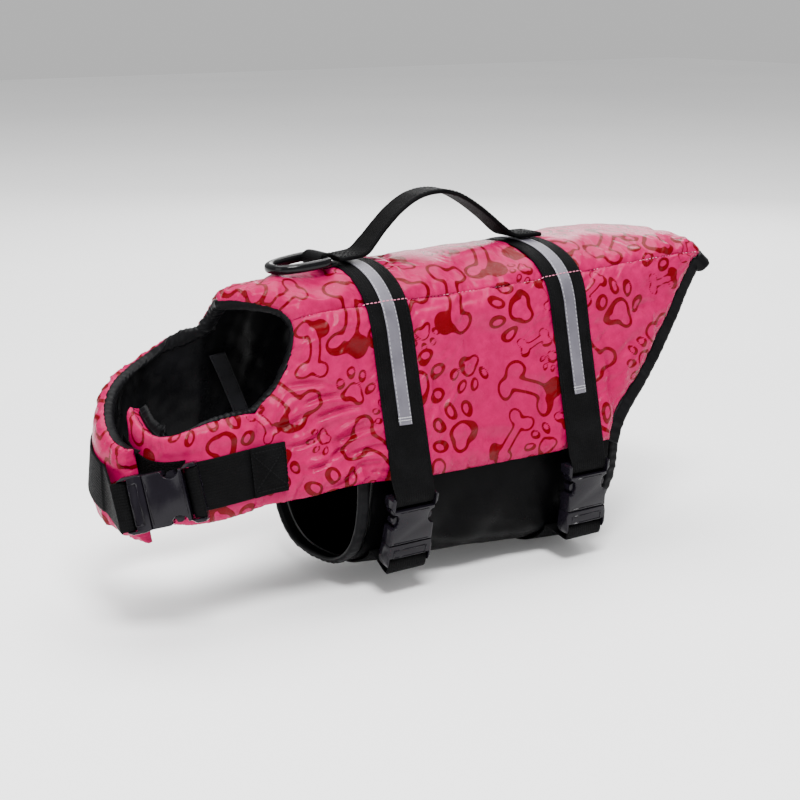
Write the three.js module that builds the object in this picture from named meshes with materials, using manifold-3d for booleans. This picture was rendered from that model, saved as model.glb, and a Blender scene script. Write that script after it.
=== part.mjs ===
import * as THREE from 'three';
import Module from 'manifold-3d';
import { mergeVertices } from 'three/addons/utils/BufferGeometryUtils.js';

// A dog's buoyancy jacket, filled out as worn, in millimetres. The neck looks along -X, the
// tail along +X, the buckles are on the -Y side and +Z is up. The origin is on the inner face
// of the lining, where the jacket bears on the middle of the back.

const wasm = await Module();
wasm.setup();

// Cloth, foam and webbing
const GAP = 0.3;
const LINING = 1.5;
const PAD = 9.2;
const SEAM_PAD = 7.8;
const EDGE_PAD = 4.2;
const EDGE_RUN = 15;
const SURFACE = LINING + GAP + PAD;
const WEBBING = 32;
const WEBBING_THICK = 1.6;
const HALF = WEBBING / 2;
const REST = SURFACE + 0.4;

// The shell's grid: rows run down each side from the crown, columns run from neck to tail
const CROWN_ROWS = 6;
const SEAM_ROW = 4;
const HEM_ROW = 14;
const COLUMNS = 32;
const STEPS_PER_STATION = 2;
const SEAM_SPLIT = 0.02;
const FRONT_X = -171;

// Cross-sections of the outer surface: crown height, half-width and depth of the crown,
// widening of the sides for each millimetre down, and how square the crown is
const stations = [
  { x: -185, top: -1, half: 38, drop: 39, flare: 0.19, square: 2 },
  { x: -165, top: 2, half: 40, drop: 40, flare: 0.205, square: 2 },
  { x: -120, top: 8, half: 46, drop: 42, flare: 0.23, square: 2 },
  { x: -70, top: 10, half: 50, drop: 42, flare: 0.245, square: 2 },
  { x: 0, top: 11, half: 54, drop: 41, flare: 0.24, square: 2.05 },
  { x: 76, top: 13, half: 59, drop: 40, flare: 0.23, square: 2.2 },
  { x: 150, top: 13.5, half: 62, drop: 38, flare: 0.21, square: 3 },
  { x: 215, top: 9.5, half: 60, drop: 34, flare: 0.19, square: 4.6 },
  { x: 240, top: 7, half: 59, drop: 32, flare: 0.18, square: 4.6 },
];

// Height of the lower hem along the side
const hem = [
  { x: -190, z: -133 },
  { x: -152, z: -130.5 },
  { x: -107, z: -126 },
  { x: -60, z: -127.5 },
  { x: 20, z: -127 },
  { x: 110, z: -124.5 },
];

// Where each row of the shell starts at the neck, on the left and right, and ends at the tail
const rowEnds = [
  { row: 0, left: -174, right: -174, rear: 217 },
  { row: 1, left: -166, right: -172, rear: 217 },
  { row: 2, left: -156, right: -169, rear: 217 },
  { row: 3, left: -144, right: -167, rear: 216 },
  { row: 4, left: -139, right: -168, rear: 213 },
  { row: 5, left: -139, right: FRONT_X, rear: 203 },
  { row: 6, left: -142, right: FRONT_X, rear: 188 },
  { row: 7, left: -148, right: FRONT_X, rear: 178 },
  { row: 8, left: -157, right: FRONT_X, rear: 167 },
  { row: 9, left: FRONT_X, right: FRONT_X, rear: 156 },
  { row: 10, left: FRONT_X, right: FRONT_X, rear: 144 },
  { row: 11, left: FRONT_X, right: FRONT_X, rear: 131 },
  { row: 12, left: FRONT_X, right: FRONT_X, rear: 118 },
  { row: 13, left: FRONT_X, right: FRONT_X, rear: 108 },
  { row: 14, left: FRONT_X, right: FRONT_X, rear: 102 },
];

// The chest bands go on from the shell's front: the upper and lower edge of the outer face
const leftBand = {
  side: -1,
  firstRow: 9,
  edges: [
    { at: 1, topX: -192, topY: -50.5, topZ: -72, lowX: -193, lowY: -63.5, lowZ: -133 },
    { at: 2, topX: -211, topY: -50.5, topZ: -73, lowX: -213, lowY: -62, lowZ: -135 },
    { at: 3, topX: -227, topY: -46, topZ: -76, lowX: -230, lowY: -55.5, lowZ: -136 },
    { at: 4, topX: -238, topY: -37, topZ: -78.5, lowX: -240.5, lowY: -44, lowZ: -136 },
    { at: 5, topX: -243, topY: -24, topZ: -78, lowX: -244.5, lowY: -28, lowZ: -135 },
    { at: 6, topX: -243.5, topY: -9, topZ: -73, lowX: -245.5, lowY: -10, lowZ: -132 },
    { at: 7, topX: -241, topY: 6, topZ: -67, lowX: -244, lowY: 6, lowZ: -129 },
  ],
};
const rightBand = {
  side: 1,
  firstRow: 5,
  edges: [
    { at: 1, topX: -189, topY: 52, topZ: -37, lowX: -192, lowY: 64, lowZ: -132 },
    { at: 2, topX: -208, topY: 54.5, topZ: -46, lowX: -213, lowY: 63, lowZ: -133 },
    { at: 3, topX: -226, topY: 51, topZ: -54, lowX: -233, lowY: 57.5, lowZ: -135 },
    { at: 4, topX: -242, topY: 41, topZ: -62, lowX: -249, lowY: 46, lowZ: -138 },
    { at: 5, topX: -254, topY: 25, topZ: -72, lowX: -259, lowY: 27, lowZ: -141 },
    { at: 6, topX: -259.5, topY: 9, topZ: -81, lowX: -262.5, lowY: 6, lowZ: -144 },
    { at: 7, topX: -260.5, topY: -7, topZ: -87, lowX: -260.5, lowY: -17, lowZ: -147.5 },
    { at: 8, topX: -259.5, topY: -21, topZ: -88, lowX: -253.5, lowY: -36, lowZ: -150 },
  ],
};

// Sewn creases in the side panels, where the side foam meets the chest foam
const creases = [
  { x: -146, z: -66, depth: 1.5 },
  { x: -131, z: -82, depth: 3.2 },
  { x: -117, z: -101, depth: 4 },
  { x: -103, z: -117, depth: 3.6 },
  { x: -92, z: -128, depth: 2.6 },
];
const CREASE_WIDTH = 10;

function sample(table, column, name, where) {
  const last = table.length - 1;
  const at = THREE.MathUtils.clamp(where, table[0][column], table[last][column]);
  let i = 0;
  while (i < last - 1 && table[i + 1][column] < at) {
    i += 1;
  }
  const slope = (k) => {
    const a = table[Math.max(k - 1, 0)];
    const b = table[Math.min(k + 1, last)];
    return (b[name] - a[name]) / (b[column] - a[column]);
  };
  const span = table[i + 1][column] - table[i][column];
  const t = (at - table[i][column]) / span;
  const u = 1 - t;
  const start = (1 + 2 * t) * u * u * table[i][name];
  const end = t * t * (3 - 2 * t) * table[i + 1][name];
  return start + end + span * t * u * (u * slope(i) - t * slope(i + 1));
}

function linear(table, column, name, where) {
  const last = table.length - 1;
  const at = THREE.MathUtils.clamp(where, table[0][column], table[last][column]);
  let i = 0;
  while (i < last - 1 && table[i + 1][column] < at) {
    i += 1;
  }
  const t = (at - table[i][column]) / (table[i + 1][column] - table[i][column]);
  return THREE.MathUtils.lerp(table[i][name], table[i + 1][name], t);
}

// A point of the shell's outer surface at a length x and a signed row
function outer(x, row) {
  const side = row < 0 ? -1 : 1;
  const down = Math.abs(row);
  const top = sample(stations, 'x', 'top', x);
  const half = sample(stations, 'x', 'half', x);
  const drop = sample(stations, 'x', 'drop', x);
  const flare = sample(stations, 'x', 'flare', x);
  const power = 2 / sample(stations, 'x', 'square', x);
  const turn = Math.min(down / CROWN_ROWS, 1) * Math.PI / 2;
  let y = half * Math.sin(turn) ** power;
  let depth = drop * (1 - Math.max(Math.cos(turn), 0) ** power);
  if (down > CROWN_ROWS) {
    const full = top - sample(hem, 'x', 'z', x);
    depth += (full - drop) * (down - CROWN_ROWS) / (HEM_ROW - CROWN_ROWS);
  }
  const below = Math.max(depth - 0.7 * drop, 0);
  y += flare * below * below / (below + 8);
  return new THREE.Vector3(x, side * y, top - depth);
}

function lifted(point, alongX, down, lift) {
  const normal = new THREE.Vector3().crossVectors(alongX, down).normalize();
  return point.clone().addScaledVector(normal, lift - SURFACE);
}

// A point over the shell, lifted from the lining's inner face along the surface's normal
function skin(x, row, lift) {
  const alongX = outer(x + 1, row).sub(outer(x - 1, row));
  const down = outer(x, row + 0.05).sub(outer(x, row - 0.05));
  return lifted(outer(x, row), alongX, down, lift);
}

function bandOuter(band, steps, row) {
  const start = (name, edgeRow) => outer(FRONT_X, band.side * edgeRow)[name];
  const first = {
    at: 0,
    topX: FRONT_X,
    topY: start('y', band.firstRow),
    topZ: start('z', band.firstRow),
    lowX: FRONT_X,
    lowY: start('y', HEM_ROW),
    lowZ: start('z', HEM_ROW),
  };
  const table = [first, ...band.edges];
  const at = steps / STEPS_PER_STATION;
  const read = (name) => sample(table, 'at', name, at);
  const top = new THREE.Vector3(read('topX'), read('topY'), read('topZ'));
  const low = new THREE.Vector3(read('lowX'), read('lowY'), read('lowZ'));
  const t = (Math.abs(row) - band.firstRow) / (HEM_ROW - band.firstRow);
  return top.lerp(low, t);
}

function rowX(column, row) {
  const side = row < 0 ? 'left' : 'right';
  const front = linear(rowEnds, 'row', side, Math.abs(row));
  const rear = linear(rowEnds, 'row', 'rear', Math.abs(row));
  return THREE.MathUtils.lerp(front, rear, column / COLUMNS);
}

// A point of the whole shell: columns from 0 are the body, and below 0 the chest bands
function shell(column, row, lift) {
  if (column >= 0) {
    return skin(rowX(column, row), row, lift);
  }
  const band = row < 0 ? leftBand : rightBand;
  const reach = band.edges.length * STEPS_PER_STATION;
  const back = Math.max(-column - 0.1, 0);
  const fore = Math.min(-column + 0.1, reach);
  const alongX = bandOuter(band, back, row).sub(bandOuter(band, fore, row));
  const down = bandOuter(band, -column, row + 0.1).sub(bandOuter(band, -column, row - 0.1));
  return lifted(bandOuter(band, -column, row), alongX, down, lift);
}

// A closed body from corner points and faces, turned outward
function solid(points, faces) {
  const positions = [];
  let volume = 0;
  for (const face of faces) {
    for (let i = 1; i < face.length - 1; i += 1) {
      const [a, b, c] = [points[face[0]], points[face[i]], points[face[i + 1]]];
      volume += a.dot(new THREE.Vector3().crossVectors(b, c));
      positions.push([a, b, c]);
    }
  }
  const corners = positions.flatMap(([a, b, c]) => (volume > 0 ? [a, b, c] : [a, c, b]));
  return new THREE.BufferGeometry().setFromPoints(corners);
}

// A wall over a patch of grid cells: place(column, row, lift) gives its points, and
// thickness(distance from the nearest free edge, nearest edge's own thickness) its height
function wall(cells, place, low, thickness) {
  const keys = new Map();
  const edges = new Map();
  const key = (corner) => corner.join(',');
  for (const cell of cells) {
    for (let i = 0; i < 4; i += 1) {
      keys.set(key(cell[i]), cell[i]);
      edges.set(`${key(cell[i])}|${key(cell[(i + 1) % 4])}`, [cell[i], cell[(i + 1) % 4]]);
    }
  }
  const rim = [];
  for (const [name, edge] of edges) {
    const [a, b] = name.split('|');
    if (!edges.has(`${b}|${a}`)) {
      rim.push(edge);
    }
  }
  const rimPoints = rim.map(([a]) => ({ corner: a, point: place(...a, SURFACE) }));
  const index = new Map();
  const points = [];
  for (const [name, corner] of keys) {
    index.set(name, points.length);
    const high = low + thickness(corner, place(...corner, SURFACE), rimPoints);
    points.push(place(...corner, low), place(...corner, high));
  }
  const at = (corner, level) => index.get(key(corner)) + level;
  const faces = [];
  for (const cell of cells) {
    faces.push(cell.map((corner) => at(corner, 1)));
    faces.push([cell[0], cell[3], cell[2], cell[1]].map((corner) => at(corner, 0)));
  }
  for (const [a, b] of rim) {
    faces.push([at(a, 0), at(b, 0), at(b, 1), at(a, 1)]);
  }
  return solid(points, faces);
}

function patch(firstColumn, lastColumn, firstRow, lastRow) {
  const cells = [];
  for (let c = firstColumn; c < lastColumn; c += 1) {
    for (let r = firstRow; r < lastRow; r += 1) {
      cells.push([[c, r], [c + 1, r], [c + 1, r + 1], [c, r + 1]]);
    }
  }
  return cells;
}

// A tube through rings of equal count, closed by a flat face at each end
function loft(rings) {
  const count = rings[0].length;
  const points = rings.flat();
  const faces = [];
  for (let i = 0; i < rings.length - 1; i += 1) {
    for (let j = 0; j < count; j += 1) {
      const k = (j + 1) % count;
      faces.push([i * count + j, i * count + k, (i + 1) * count + k, (i + 1) * count + j]);
    }
  }
  const first = [...Array(count).keys()];
  faces.push([...first].reverse());
  faces.push(first.map((j) => (rings.length - 1) * count + j));
  return solid(points, faces);
}

// A ribbon through rungs: under gives its two lower edge points, out the way it is thick
function ribbon(rungs, thickness) {
  return loft(rungs.map(({ under: [a, b], out }) => [
    a,
    b,
    b.clone().addScaledVector(out, thickness),
    a.clone().addScaledVector(out, thickness),
  ]));
}

function steps(from, to, count) {
  return [...Array(count + 1).keys()].map((i) => from + (to - from) * i / count);
}

function finish(color, roughness) {
  return new THREE.MeshStandardMaterial({ color, roughness, metalness: 0 });
}

const jacket = new THREE.Group();

function add(name, geometry, color, roughness, parent = jacket) {
  const mesh = new THREE.Mesh(geometry, finish(color, roughness));
  mesh.name = name;
  parent.add(mesh);
  return mesh;
}

const PRINT = 0xff4f86;
const SATIN = 0x17161a;
const BLACK_WEBBING = 0x1b1b20;
const PLASTIC = 0x2e2b33;
const REFLECTOR = 0x9a98a2;

// Padded panels: full in the middle, thinner at a sewn line and thinnest at a free edge
function creaseDepth(point) {
  let depth = 0;
  for (let i = 0; i < creases.length - 1; i += 1) {
    const a = creases[i];
    const b = creases[i + 1];
    const run = new THREE.Vector2(b.x - a.x, b.z - a.z);
    const from = new THREE.Vector2(point.x - a.x, point.z - a.z);
    const t = THREE.MathUtils.clamp(from.dot(run) / run.lengthSq(), 0, 1);
    const away = from.addScaledVector(run, -t).length() / CREASE_WIDTH;
    depth = Math.max(depth, THREE.MathUtils.lerp(a.depth, b.depth, t) * Math.exp(-away * away));
  }
  return depth;
}

function padding(corner, point, rim) {
  let height = PAD;
  for (const edge of rim) {
    const atSeam = Math.abs(Math.abs(edge.corner[1]) - SEAM_ROW) < 0.5;
    const least = atSeam ? SEAM_PAD : EDGE_PAD;
    const t = Math.min(edge.point.distanceTo(point) / EDGE_RUN, 1);
    height = Math.min(height, least + (PAD - least) * Math.sqrt(1 - (1 - t) ** 2));
  }
  const sideways = Math.abs(corner[1]) > SEAM_ROW + 1 ? creaseDepth(point) : 0;
  return Math.max(height - sideways, EDGE_PAD - 1);
}

// Neighbouring panels are parted along the crown seam
function panelPlace(isCrown) {
  return (column, row, lift) => {
    const atSeam = Math.abs(row) === SEAM_ROW;
    const split = isCrown ? -SEAM_SPLIT : SEAM_SPLIT;
    return shell(column, atSeam ? row + Math.sign(row) * split : row, lift);
  };
}

const leftReach = leftBand.edges.length * STEPS_PER_STATION;
const rightReach = rightBand.edges.length * STEPS_PER_STATION;
const crownCells = patch(0, COLUMNS, -SEAM_ROW, SEAM_ROW);
const leftCells = [
  ...patch(0, COLUMNS, -HEM_ROW, -SEAM_ROW),
  ...patch(-leftReach, 0, -HEM_ROW, -leftBand.firstRow),
];
const rightCells = [
  ...patch(0, COLUMNS, SEAM_ROW, HEM_ROW),
  ...patch(-rightReach, 0, rightBand.firstRow, HEM_ROW),
];

add('back_panel', wall(crownCells, panelPlace(true), LINING + GAP, padding), PRINT, 0.35);
add('side_panel_left', wall(leftCells, panelPlace(false), LINING + GAP, padding), PRINT, 0.35);
add('side_panel_right', wall(rightCells, panelPlace(false), LINING + GAP, padding), PRINT, 0.35);
add(
  'lining',
  wall([...crownCells, ...leftCells, ...rightCells], shell, 0, () => LINING),
  SATIN,
  0.3,
);

// Binding along the tail edge, turned under at the crown
const BINDING = 9;
const TAIL_BINDING = 12;
const BINDING_THICK = 4;
const BINDING_LIFT = 1;

function rearRung(row) {
  const edge = shell(COLUMNS, row, BINDING_LIFT);
  const along = shell(COLUMNS, row + 0.1, BINDING_LIFT).sub(shell(COLUMNS, row - 0.1, BINDING_LIFT));
  const out = shell(COLUMNS, row, BINDING_LIFT + 1).sub(edge).normalize();
  const away = new THREE.Vector3().crossVectors(along, out).normalize();
  const fade = THREE.MathUtils.smoothstep(Math.abs(row), SEAM_ROW - 2, SEAM_ROW + 0.5);
  const dip = THREE.MathUtils.lerp(1.1, 0, fade);
  const run = away.clone().multiplyScalar(Math.cos(dip)).addScaledVector(out, -Math.sin(dip));
  const start = edge.clone().addScaledVector(away, 2 * GAP);
  return {
    under: [start, start.clone().addScaledVector(run, TAIL_BINDING)],
    out: out.multiplyScalar(Math.cos(dip)).addScaledVector(away, Math.sin(dip)),
  };
}
add(
  'rear_binding',
  ribbon(steps(-HEM_ROW, HEM_ROW, 2 * HEM_ROW).map(rearRung), BINDING_THICK),
  SATIN,
  0.5,
);

// Gathered binding inside the neck's rim, on the facets of the lining
const RIM_WIDTH = 8;
const RIM_THICK = 1.4;
const RIM_GAP = 0.7;

function onLining(column, row, lift) {
  const [c, r] = [Math.floor(column), Math.floor(row)];
  const [u, v] = [column - c, row - r];
  const low = shell(c, r, lift).lerp(shell(c + 1, r, lift), u);
  const high = shell(c, r + 1, lift).lerp(shell(c + 1, r + 1, lift), u);
  return low.lerp(high, v);
}

const neckPath = [
  ...steps(-leftReach, -1, leftReach - 1).map((c) => [c, -leftBand.firstRow, 0, -1]),
  [-0.08, -leftBand.firstRow, 0, -1],
  [0, -leftBand.firstRow + 0.02, 1, -0.8],
  ...steps(-leftBand.firstRow + 1, rightBand.firstRow - 1, leftBand.firstRow + rightBand.firstRow - 2)
    .map((r) => [0, r, 1, 0]),
  [0, rightBand.firstRow - 0.02, 1, 0.8],
  [-0.08, rightBand.firstRow, 0, 1],
  ...steps(-1, -rightReach, rightReach - 1).map((c) => [c, rightBand.firstRow, 0, 1]),
];

function rimRung([column, row, inColumn, inRow]) {
  const edge = onLining(column, row, -RIM_GAP);
  const probe = 0.5;
  const near = onLining(column + probe * inColumn, row + probe * inRow, -RIM_GAP);
  const reach = Math.min(RIM_WIDTH / near.distanceTo(edge) * probe, 0.98);
  const inner = onLining(column + reach * inColumn, row + reach * inRow, -RIM_GAP);
  const out = edge.clone().sub(onLining(column, row, -RIM_GAP + 1)).normalize();
  return { under: [edge, inner], out };
}
add('neck_binding', ribbon(neckPath.map(rimRung), RIM_THICK), SATIN, 0.5);

// Tape over the inner seam between the side foam and the chest foam, on both sides
const TAPE_WIDTH = 10;
const innerSeams = [
  { name: 'seam_tape_left', side: -1, fromX: -147, fromRow: 9.2, toX: -112, toRow: 12.3 },
  { name: 'seam_tape_right', side: 1, fromX: -160, fromRow: 6.8, toX: -127, toRow: 12.2 },
];
for (const { name, side, fromX, fromRow, toX, toRow } of innerSeams) {
  const rungs = steps(0, 1, 8).map((t) => {
    const x = THREE.MathUtils.lerp(fromX, toX, t);
    const row = side * THREE.MathUtils.lerp(fromRow, toRow, t);
    const lift = -GAP - 0.3;
    const edge = (dx) => skin(x + dx, row, lift);
    const out = edge(0).sub(skin(x, row, lift + 1)).normalize();
    const slant = 1.3;
    return { under: [edge(-TAPE_WIDTH / 2 * slant), edge(TAPE_WIDTH / 2 * slant)], out };
  });
  add(name, ribbon(rungs, 0.8), REFLECTOR, 0.5);
}

// The belly panel: a padded sling whose upper edges tuck inside the side panels
const BELLY_PAD = 6;
const BELLY_EDGE = 3.4;
const BELLY_ROWS = 12;
const BELLY_COLUMNS = 12;
const BELLY_FRONT = -94;
const BELLY_REAR = 98;
const BELLY_SLANT = 12;
const TUCK = 0.8;
const TUCK_ROWS = 2;
const bellyStations = [
  { x: BELLY_FRONT, bottom: -198, square: 2.6 },
  { x: 0, bottom: -205, square: 2.8 },
  { x: BELLY_REAR, bottom: -210, square: 3.2 },
];

function bellyOuter(x, row) {
  const side = row < 0 ? -1 : 1;
  const up = Math.abs(row) - (BELLY_ROWS - TUCK_ROWS);
  if (up >= 0) {
    const tucked = skin(x, side * (HEM_ROW - up), -TUCK);
    return tucked;
  }
  const top = skin(x, side * HEM_ROW, -TUCK);
  const bottom = linear(bellyStations, 'x', 'bottom', x);
  const power = 2 / linear(bellyStations, 'x', 'square', x);
  const turn = Math.abs(row) / (BELLY_ROWS - TUCK_ROWS) * Math.PI / 2;
  const y = top.y * Math.sin(turn) ** power;
  const z = top.z + (bottom - top.z) * Math.cos(turn) ** power;
  return new THREE.Vector3(x, y, z);
}

// A point over the belly panel's outer face
function belly(x, row, lift) {
  const limit = BELLY_ROWS;
  const a = bellyOuter(x, Math.max(row - 0.05, -limit));
  const b = bellyOuter(x, Math.min(row + 0.05, limit));
  const alongX = bellyOuter(x + 1, row).sub(bellyOuter(x - 1, row));
  const normal = new THREE.Vector3().crossVectors(b.sub(a), alongX).normalize();
  return bellyOuter(x, row).addScaledVector(normal, lift);
}

// The tail end of the panel reaches further back at its upper edges
function bellyX(column, row) {
  const raised = THREE.MathUtils.smoothstep(Math.abs(row), BELLY_ROWS / 2, BELLY_ROWS - TUCK_ROWS);
  const rear = BELLY_REAR + BELLY_SLANT * raised;
  return THREE.MathUtils.lerp(BELLY_FRONT, rear, column / BELLY_COLUMNS);
}

// The wall's lift is counted from the inner face, which lies BELLY_PAD inside the outer one
const bellyPlace = (column, row, lift) => (
  belly(bellyX(column, row), row, -Math.min(lift, BELLY_PAD))
);
function bellyPadding(corner, point, rim) {
  let height = BELLY_PAD;
  for (const edge of rim) {
    const t = Math.min(edge.point.distanceTo(point) / EDGE_RUN, 1);
    height = Math.min(height, BELLY_EDGE + (BELLY_PAD - BELLY_EDGE) * t);
  }
  return height;
}
add(
  'belly_panel',
  wall(patch(0, BELLY_COLUMNS, -BELLY_ROWS, BELLY_ROWS), bellyPlace, 0, bellyPadding),
  SATIN,
  0.5,
);

const bellyRims = [
  { name: 'belly_binding_front', column: 0, way: -1 },
  { name: 'belly_binding_rear', column: BELLY_COLUMNS, way: 1 },
];
const RIM_CLEAR = 0.7;
for (const { name, column, way } of bellyRims) {
  const rungs = steps(-BELLY_ROWS, BELLY_ROWS, 2 * BELLY_ROWS).map((row) => {
    const x = bellyX(column, row);
    const lift = -BINDING_THICK - 0.1;
    const out = belly(x, row, 1).sub(belly(x, row, 0)).normalize();
    return { under: [RIM_CLEAR, BINDING].map((dx) => belly(x + way * dx, row, lift)), out };
  });
  add(name, ribbon(rungs, BINDING_THICK), BLACK_WEBBING, 0.6);
}

// Side-release buckles. In a buckle's own frame X is its width, -Y the way to the plug and Z
// outward, with the origin at the middle of the socket's top edge on the outer face
const BUCKLE_THICK = 11;
const BUCKLE_BEVEL = 1.2;
const SOCKET_LENGTH = 35;
const BUCKLE_LENGTH = 54;
const BAR_HALF = 19;
const BODY_HALF = 17.4;
const SLOT_HALF = HALF + 0.5;
const SLOT_LENGTH = 4.4;
const CAVITY_HALF = 14.6;
const CAVITY_THICK = 6.6;
const ARM_THICK = 5.8;
const CLEAR = 0.35;

function toSolid(geometry) {
  const bare = geometry.clone();
  bare.deleteAttribute('normal');
  bare.deleteAttribute('uv');
  const merged = mergeVertices(bare, 1e-4);
  return new wasm.Manifold(new wasm.Mesh({
    numProp: 3,
    vertProperties: new Float32Array(merged.attributes.position.array),
    triVerts: new Uint32Array(merged.index.array),
  }));
}

function fromSolid(body) {
  const mesh = body.getMesh();
  const geometry = new THREE.BufferGeometry();
  geometry.setAttribute('position', new THREE.BufferAttribute(mesh.vertProperties, 3));
  geometry.setIndex(new THREE.BufferAttribute(mesh.triVerts, 1));
  return geometry;
}

function mirrored(half) {
  const points = half.map(([x, y]) => new THREE.Vector2(x, y));
  const other = half.map(([x, y]) => new THREE.Vector2(-x, y)).reverse();
  return new THREE.Shape([...points, ...other]);
}

function plate(shape, thick, bevel, middle) {
  const geometry = new THREE.ExtrudeGeometry(shape, {
    depth: thick - 2 * bevel,
    bevelEnabled: bevel > 0,
    bevelThickness: bevel,
    bevelSize: bevel,
    bevelOffset: -bevel,
    bevelSegments: 2,
    curveSegments: 6,
  });
  return geometry.translate(0, 0, middle - thick / 2 + bevel);
}

function block(width, length, thick, y, z) {
  return new THREE.BoxGeometry(width, length, thick).translate(0, y, z);
}

const MIDDLE = -BUCKLE_THICK / 2;
const NOTCH_TOP = 11.5;
const NOTCH_LENGTH = 11;
const NOTCH_DEPTH = 4.8;
const notch = steps(0, Math.PI, 8).map((turn) => [
  BODY_HALF - 0.6 - NOTCH_DEPTH * Math.sin(turn),
  -NOTCH_TOP - NOTCH_LENGTH * (1 - Math.cos(turn)) / 2,
]);
const socketOutline = [
  [BAR_HALF - 1, 0],
  [BAR_HALF, -1],
  [BAR_HALF, -6.5],
  [BAR_HALF - 2.4, -9.5],
  ...notch,
  [BODY_HALF, -NOTCH_TOP - NOTCH_LENGTH - 1],
  [BODY_HALF, -SOCKET_LENGTH],
];
const plugOutline = [
  [BODY_HALF, -SOCKET_LENGTH - CLEAR],
  [BODY_HALF + 1, -SOCKET_LENGTH - 5],
  [BODY_HALF + 1, -BUCKLE_LENGTH + 6],
  [BODY_HALF - 1, -BUCKLE_LENGTH + 2],
  [BODY_HALF - 5, -BUCKLE_LENGTH],
];
const armOutline = [
  [8.5, -SOCKET_LENGTH - 4],
  [8.5, -NOTCH_TOP - 4],
  [11.4, -NOTCH_TOP - 1.2],
  [13.6, -NOTCH_TOP - 2.6],
  [BODY_HALF - 1.4, -NOTCH_TOP - 3.6],
  [BODY_HALF - 1, -NOTCH_TOP - 5.5],
  [BODY_HALF - 1.4, -NOTCH_TOP - 7.4],
  [13.6, -NOTCH_TOP - 8.4],
  [12.6, -SOCKET_LENGTH - 4],
];

function socketGeometry() {
  const length = SOCKET_LENGTH - NOTCH_TOP + 1;
  const body = toSolid(plate(mirrored(socketOutline), BUCKLE_THICK, BUCKLE_BEVEL, MIDDLE));
  const slot = toSolid(block(2 * SLOT_HALF, SLOT_LENGTH, 2 * BUCKLE_THICK, -7, MIDDLE));
  const relief = toSolid(block(2 * SLOT_HALF, 9, 8, -2.4, 0.6));
  const y = -SOCKET_LENGTH + length / 2 - 0.5;
  const cavity = toSolid(block(2 * CAVITY_HALF, length, CAVITY_THICK, y, MIDDLE));
  return fromSolid(body.subtract(slot).subtract(relief).subtract(cavity));
}

function plugGeometry() {
  let body = toSolid(plate(mirrored(plugOutline), BUCKLE_THICK, BUCKLE_BEVEL, MIDDLE));
  for (const side of [-1, 1]) {
    const outline = new THREE.Shape(armOutline.map(([x, y]) => new THREE.Vector2(side * x, y)));
    body = body.add(toSolid(plate(outline, ARM_THICK, 0, MIDDLE)));
  }
  body = body.add(toSolid(block(5, 22, ARM_THICK, -SOCKET_LENGTH + 7, MIDDLE)));
  const slot = toSolid(block(2 * SLOT_HALF, SLOT_LENGTH, 2 * BUCKLE_THICK, -BUCKLE_LENGTH + 7, MIDDLE));
  const relief = toSolid(block(2 * SLOT_HALF, 9, 8, -BUCKLE_LENGTH + 2.4, 0.6));
  return fromSolid(body.subtract(slot).subtract(relief));
}

// Frame of a buckle: where its socket's top edge is, the way up its length, and outward
function buckleFrame(top, up, outward) {
  const y = up.clone().normalize();
  const z = outward.clone().addScaledVector(y, -outward.dot(y)).normalize();
  const x = new THREE.Vector3().crossVectors(y, z);
  return new THREE.Matrix4().makeBasis(x, y, z).setPosition(top);
}

function addBuckle(name, frame) {
  add(`${name}_buckle_socket`, socketGeometry().applyMatrix4(frame), PLASTIC, 0.4);
  add(`${name}_buckle_plug`, plugGeometry().applyMatrix4(frame), PLASTIC, 0.4);
}

// Webbing lies over a buckle's end bar and dips into the slot behind it. The rungs are in the
// buckle's frame: how far along its length, and how far below the outer face
const socketTurn = [
  { y: -7.2, z: -7.6 },
  { y: -6.5, z: -4.6 },
  { y: -5.1, z: -3 },
  { y: 0.6, z: -3 },
];
const plugTurn = [
  ...socketTurn.map(({ y, z }) => ({ y: -BUCKLE_LENGTH - y, z })),
  { y: -BUCKLE_LENGTH - 2, z: -5.5 },
];

function buckleRungs(frame, turn) {
  return turn.map(({ y, z }, i) => {
    const before = turn[Math.max(i - 1, 0)];
    const after = turn[Math.min(i + 1, turn.length - 1)];
    const run = after.y - before.y;
    const out = new THREE.Vector3(0, before.z - after.z, run).multiplyScalar(Math.sign(run));
    return {
      under: [
        new THREE.Vector3(-HALF, y, z).applyMatrix4(frame),
        new THREE.Vector3(HALF, y, z).applyMatrix4(frame),
      ],
      out: out.normalize().transformDirection(frame),
    };
  });
}

// Straps over the back and under the belly, at two places along it. Each reaches its socket
// at topRow, where the buckle leans in by an angle, and leaves the belly again at plugRow
const straps = [
  { name: 'front', x: -70, topRow: 15, lean: 0.2, plugRow: -5 },
  { name: 'rear', x: 77, topRow: 15, lean: 0.07, plugRow: -5.5 },
];
const TAPE_ROW = 11;
const TAPE_THICK = 0.6;

function surfaceRung(place, x, row, half, lift) {
  const out = place(x, row, lift + 1).sub(place(x, row, lift)).normalize();
  return { under: [place(x - half, row, lift), place(x + half, row, lift)], out };
}

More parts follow.
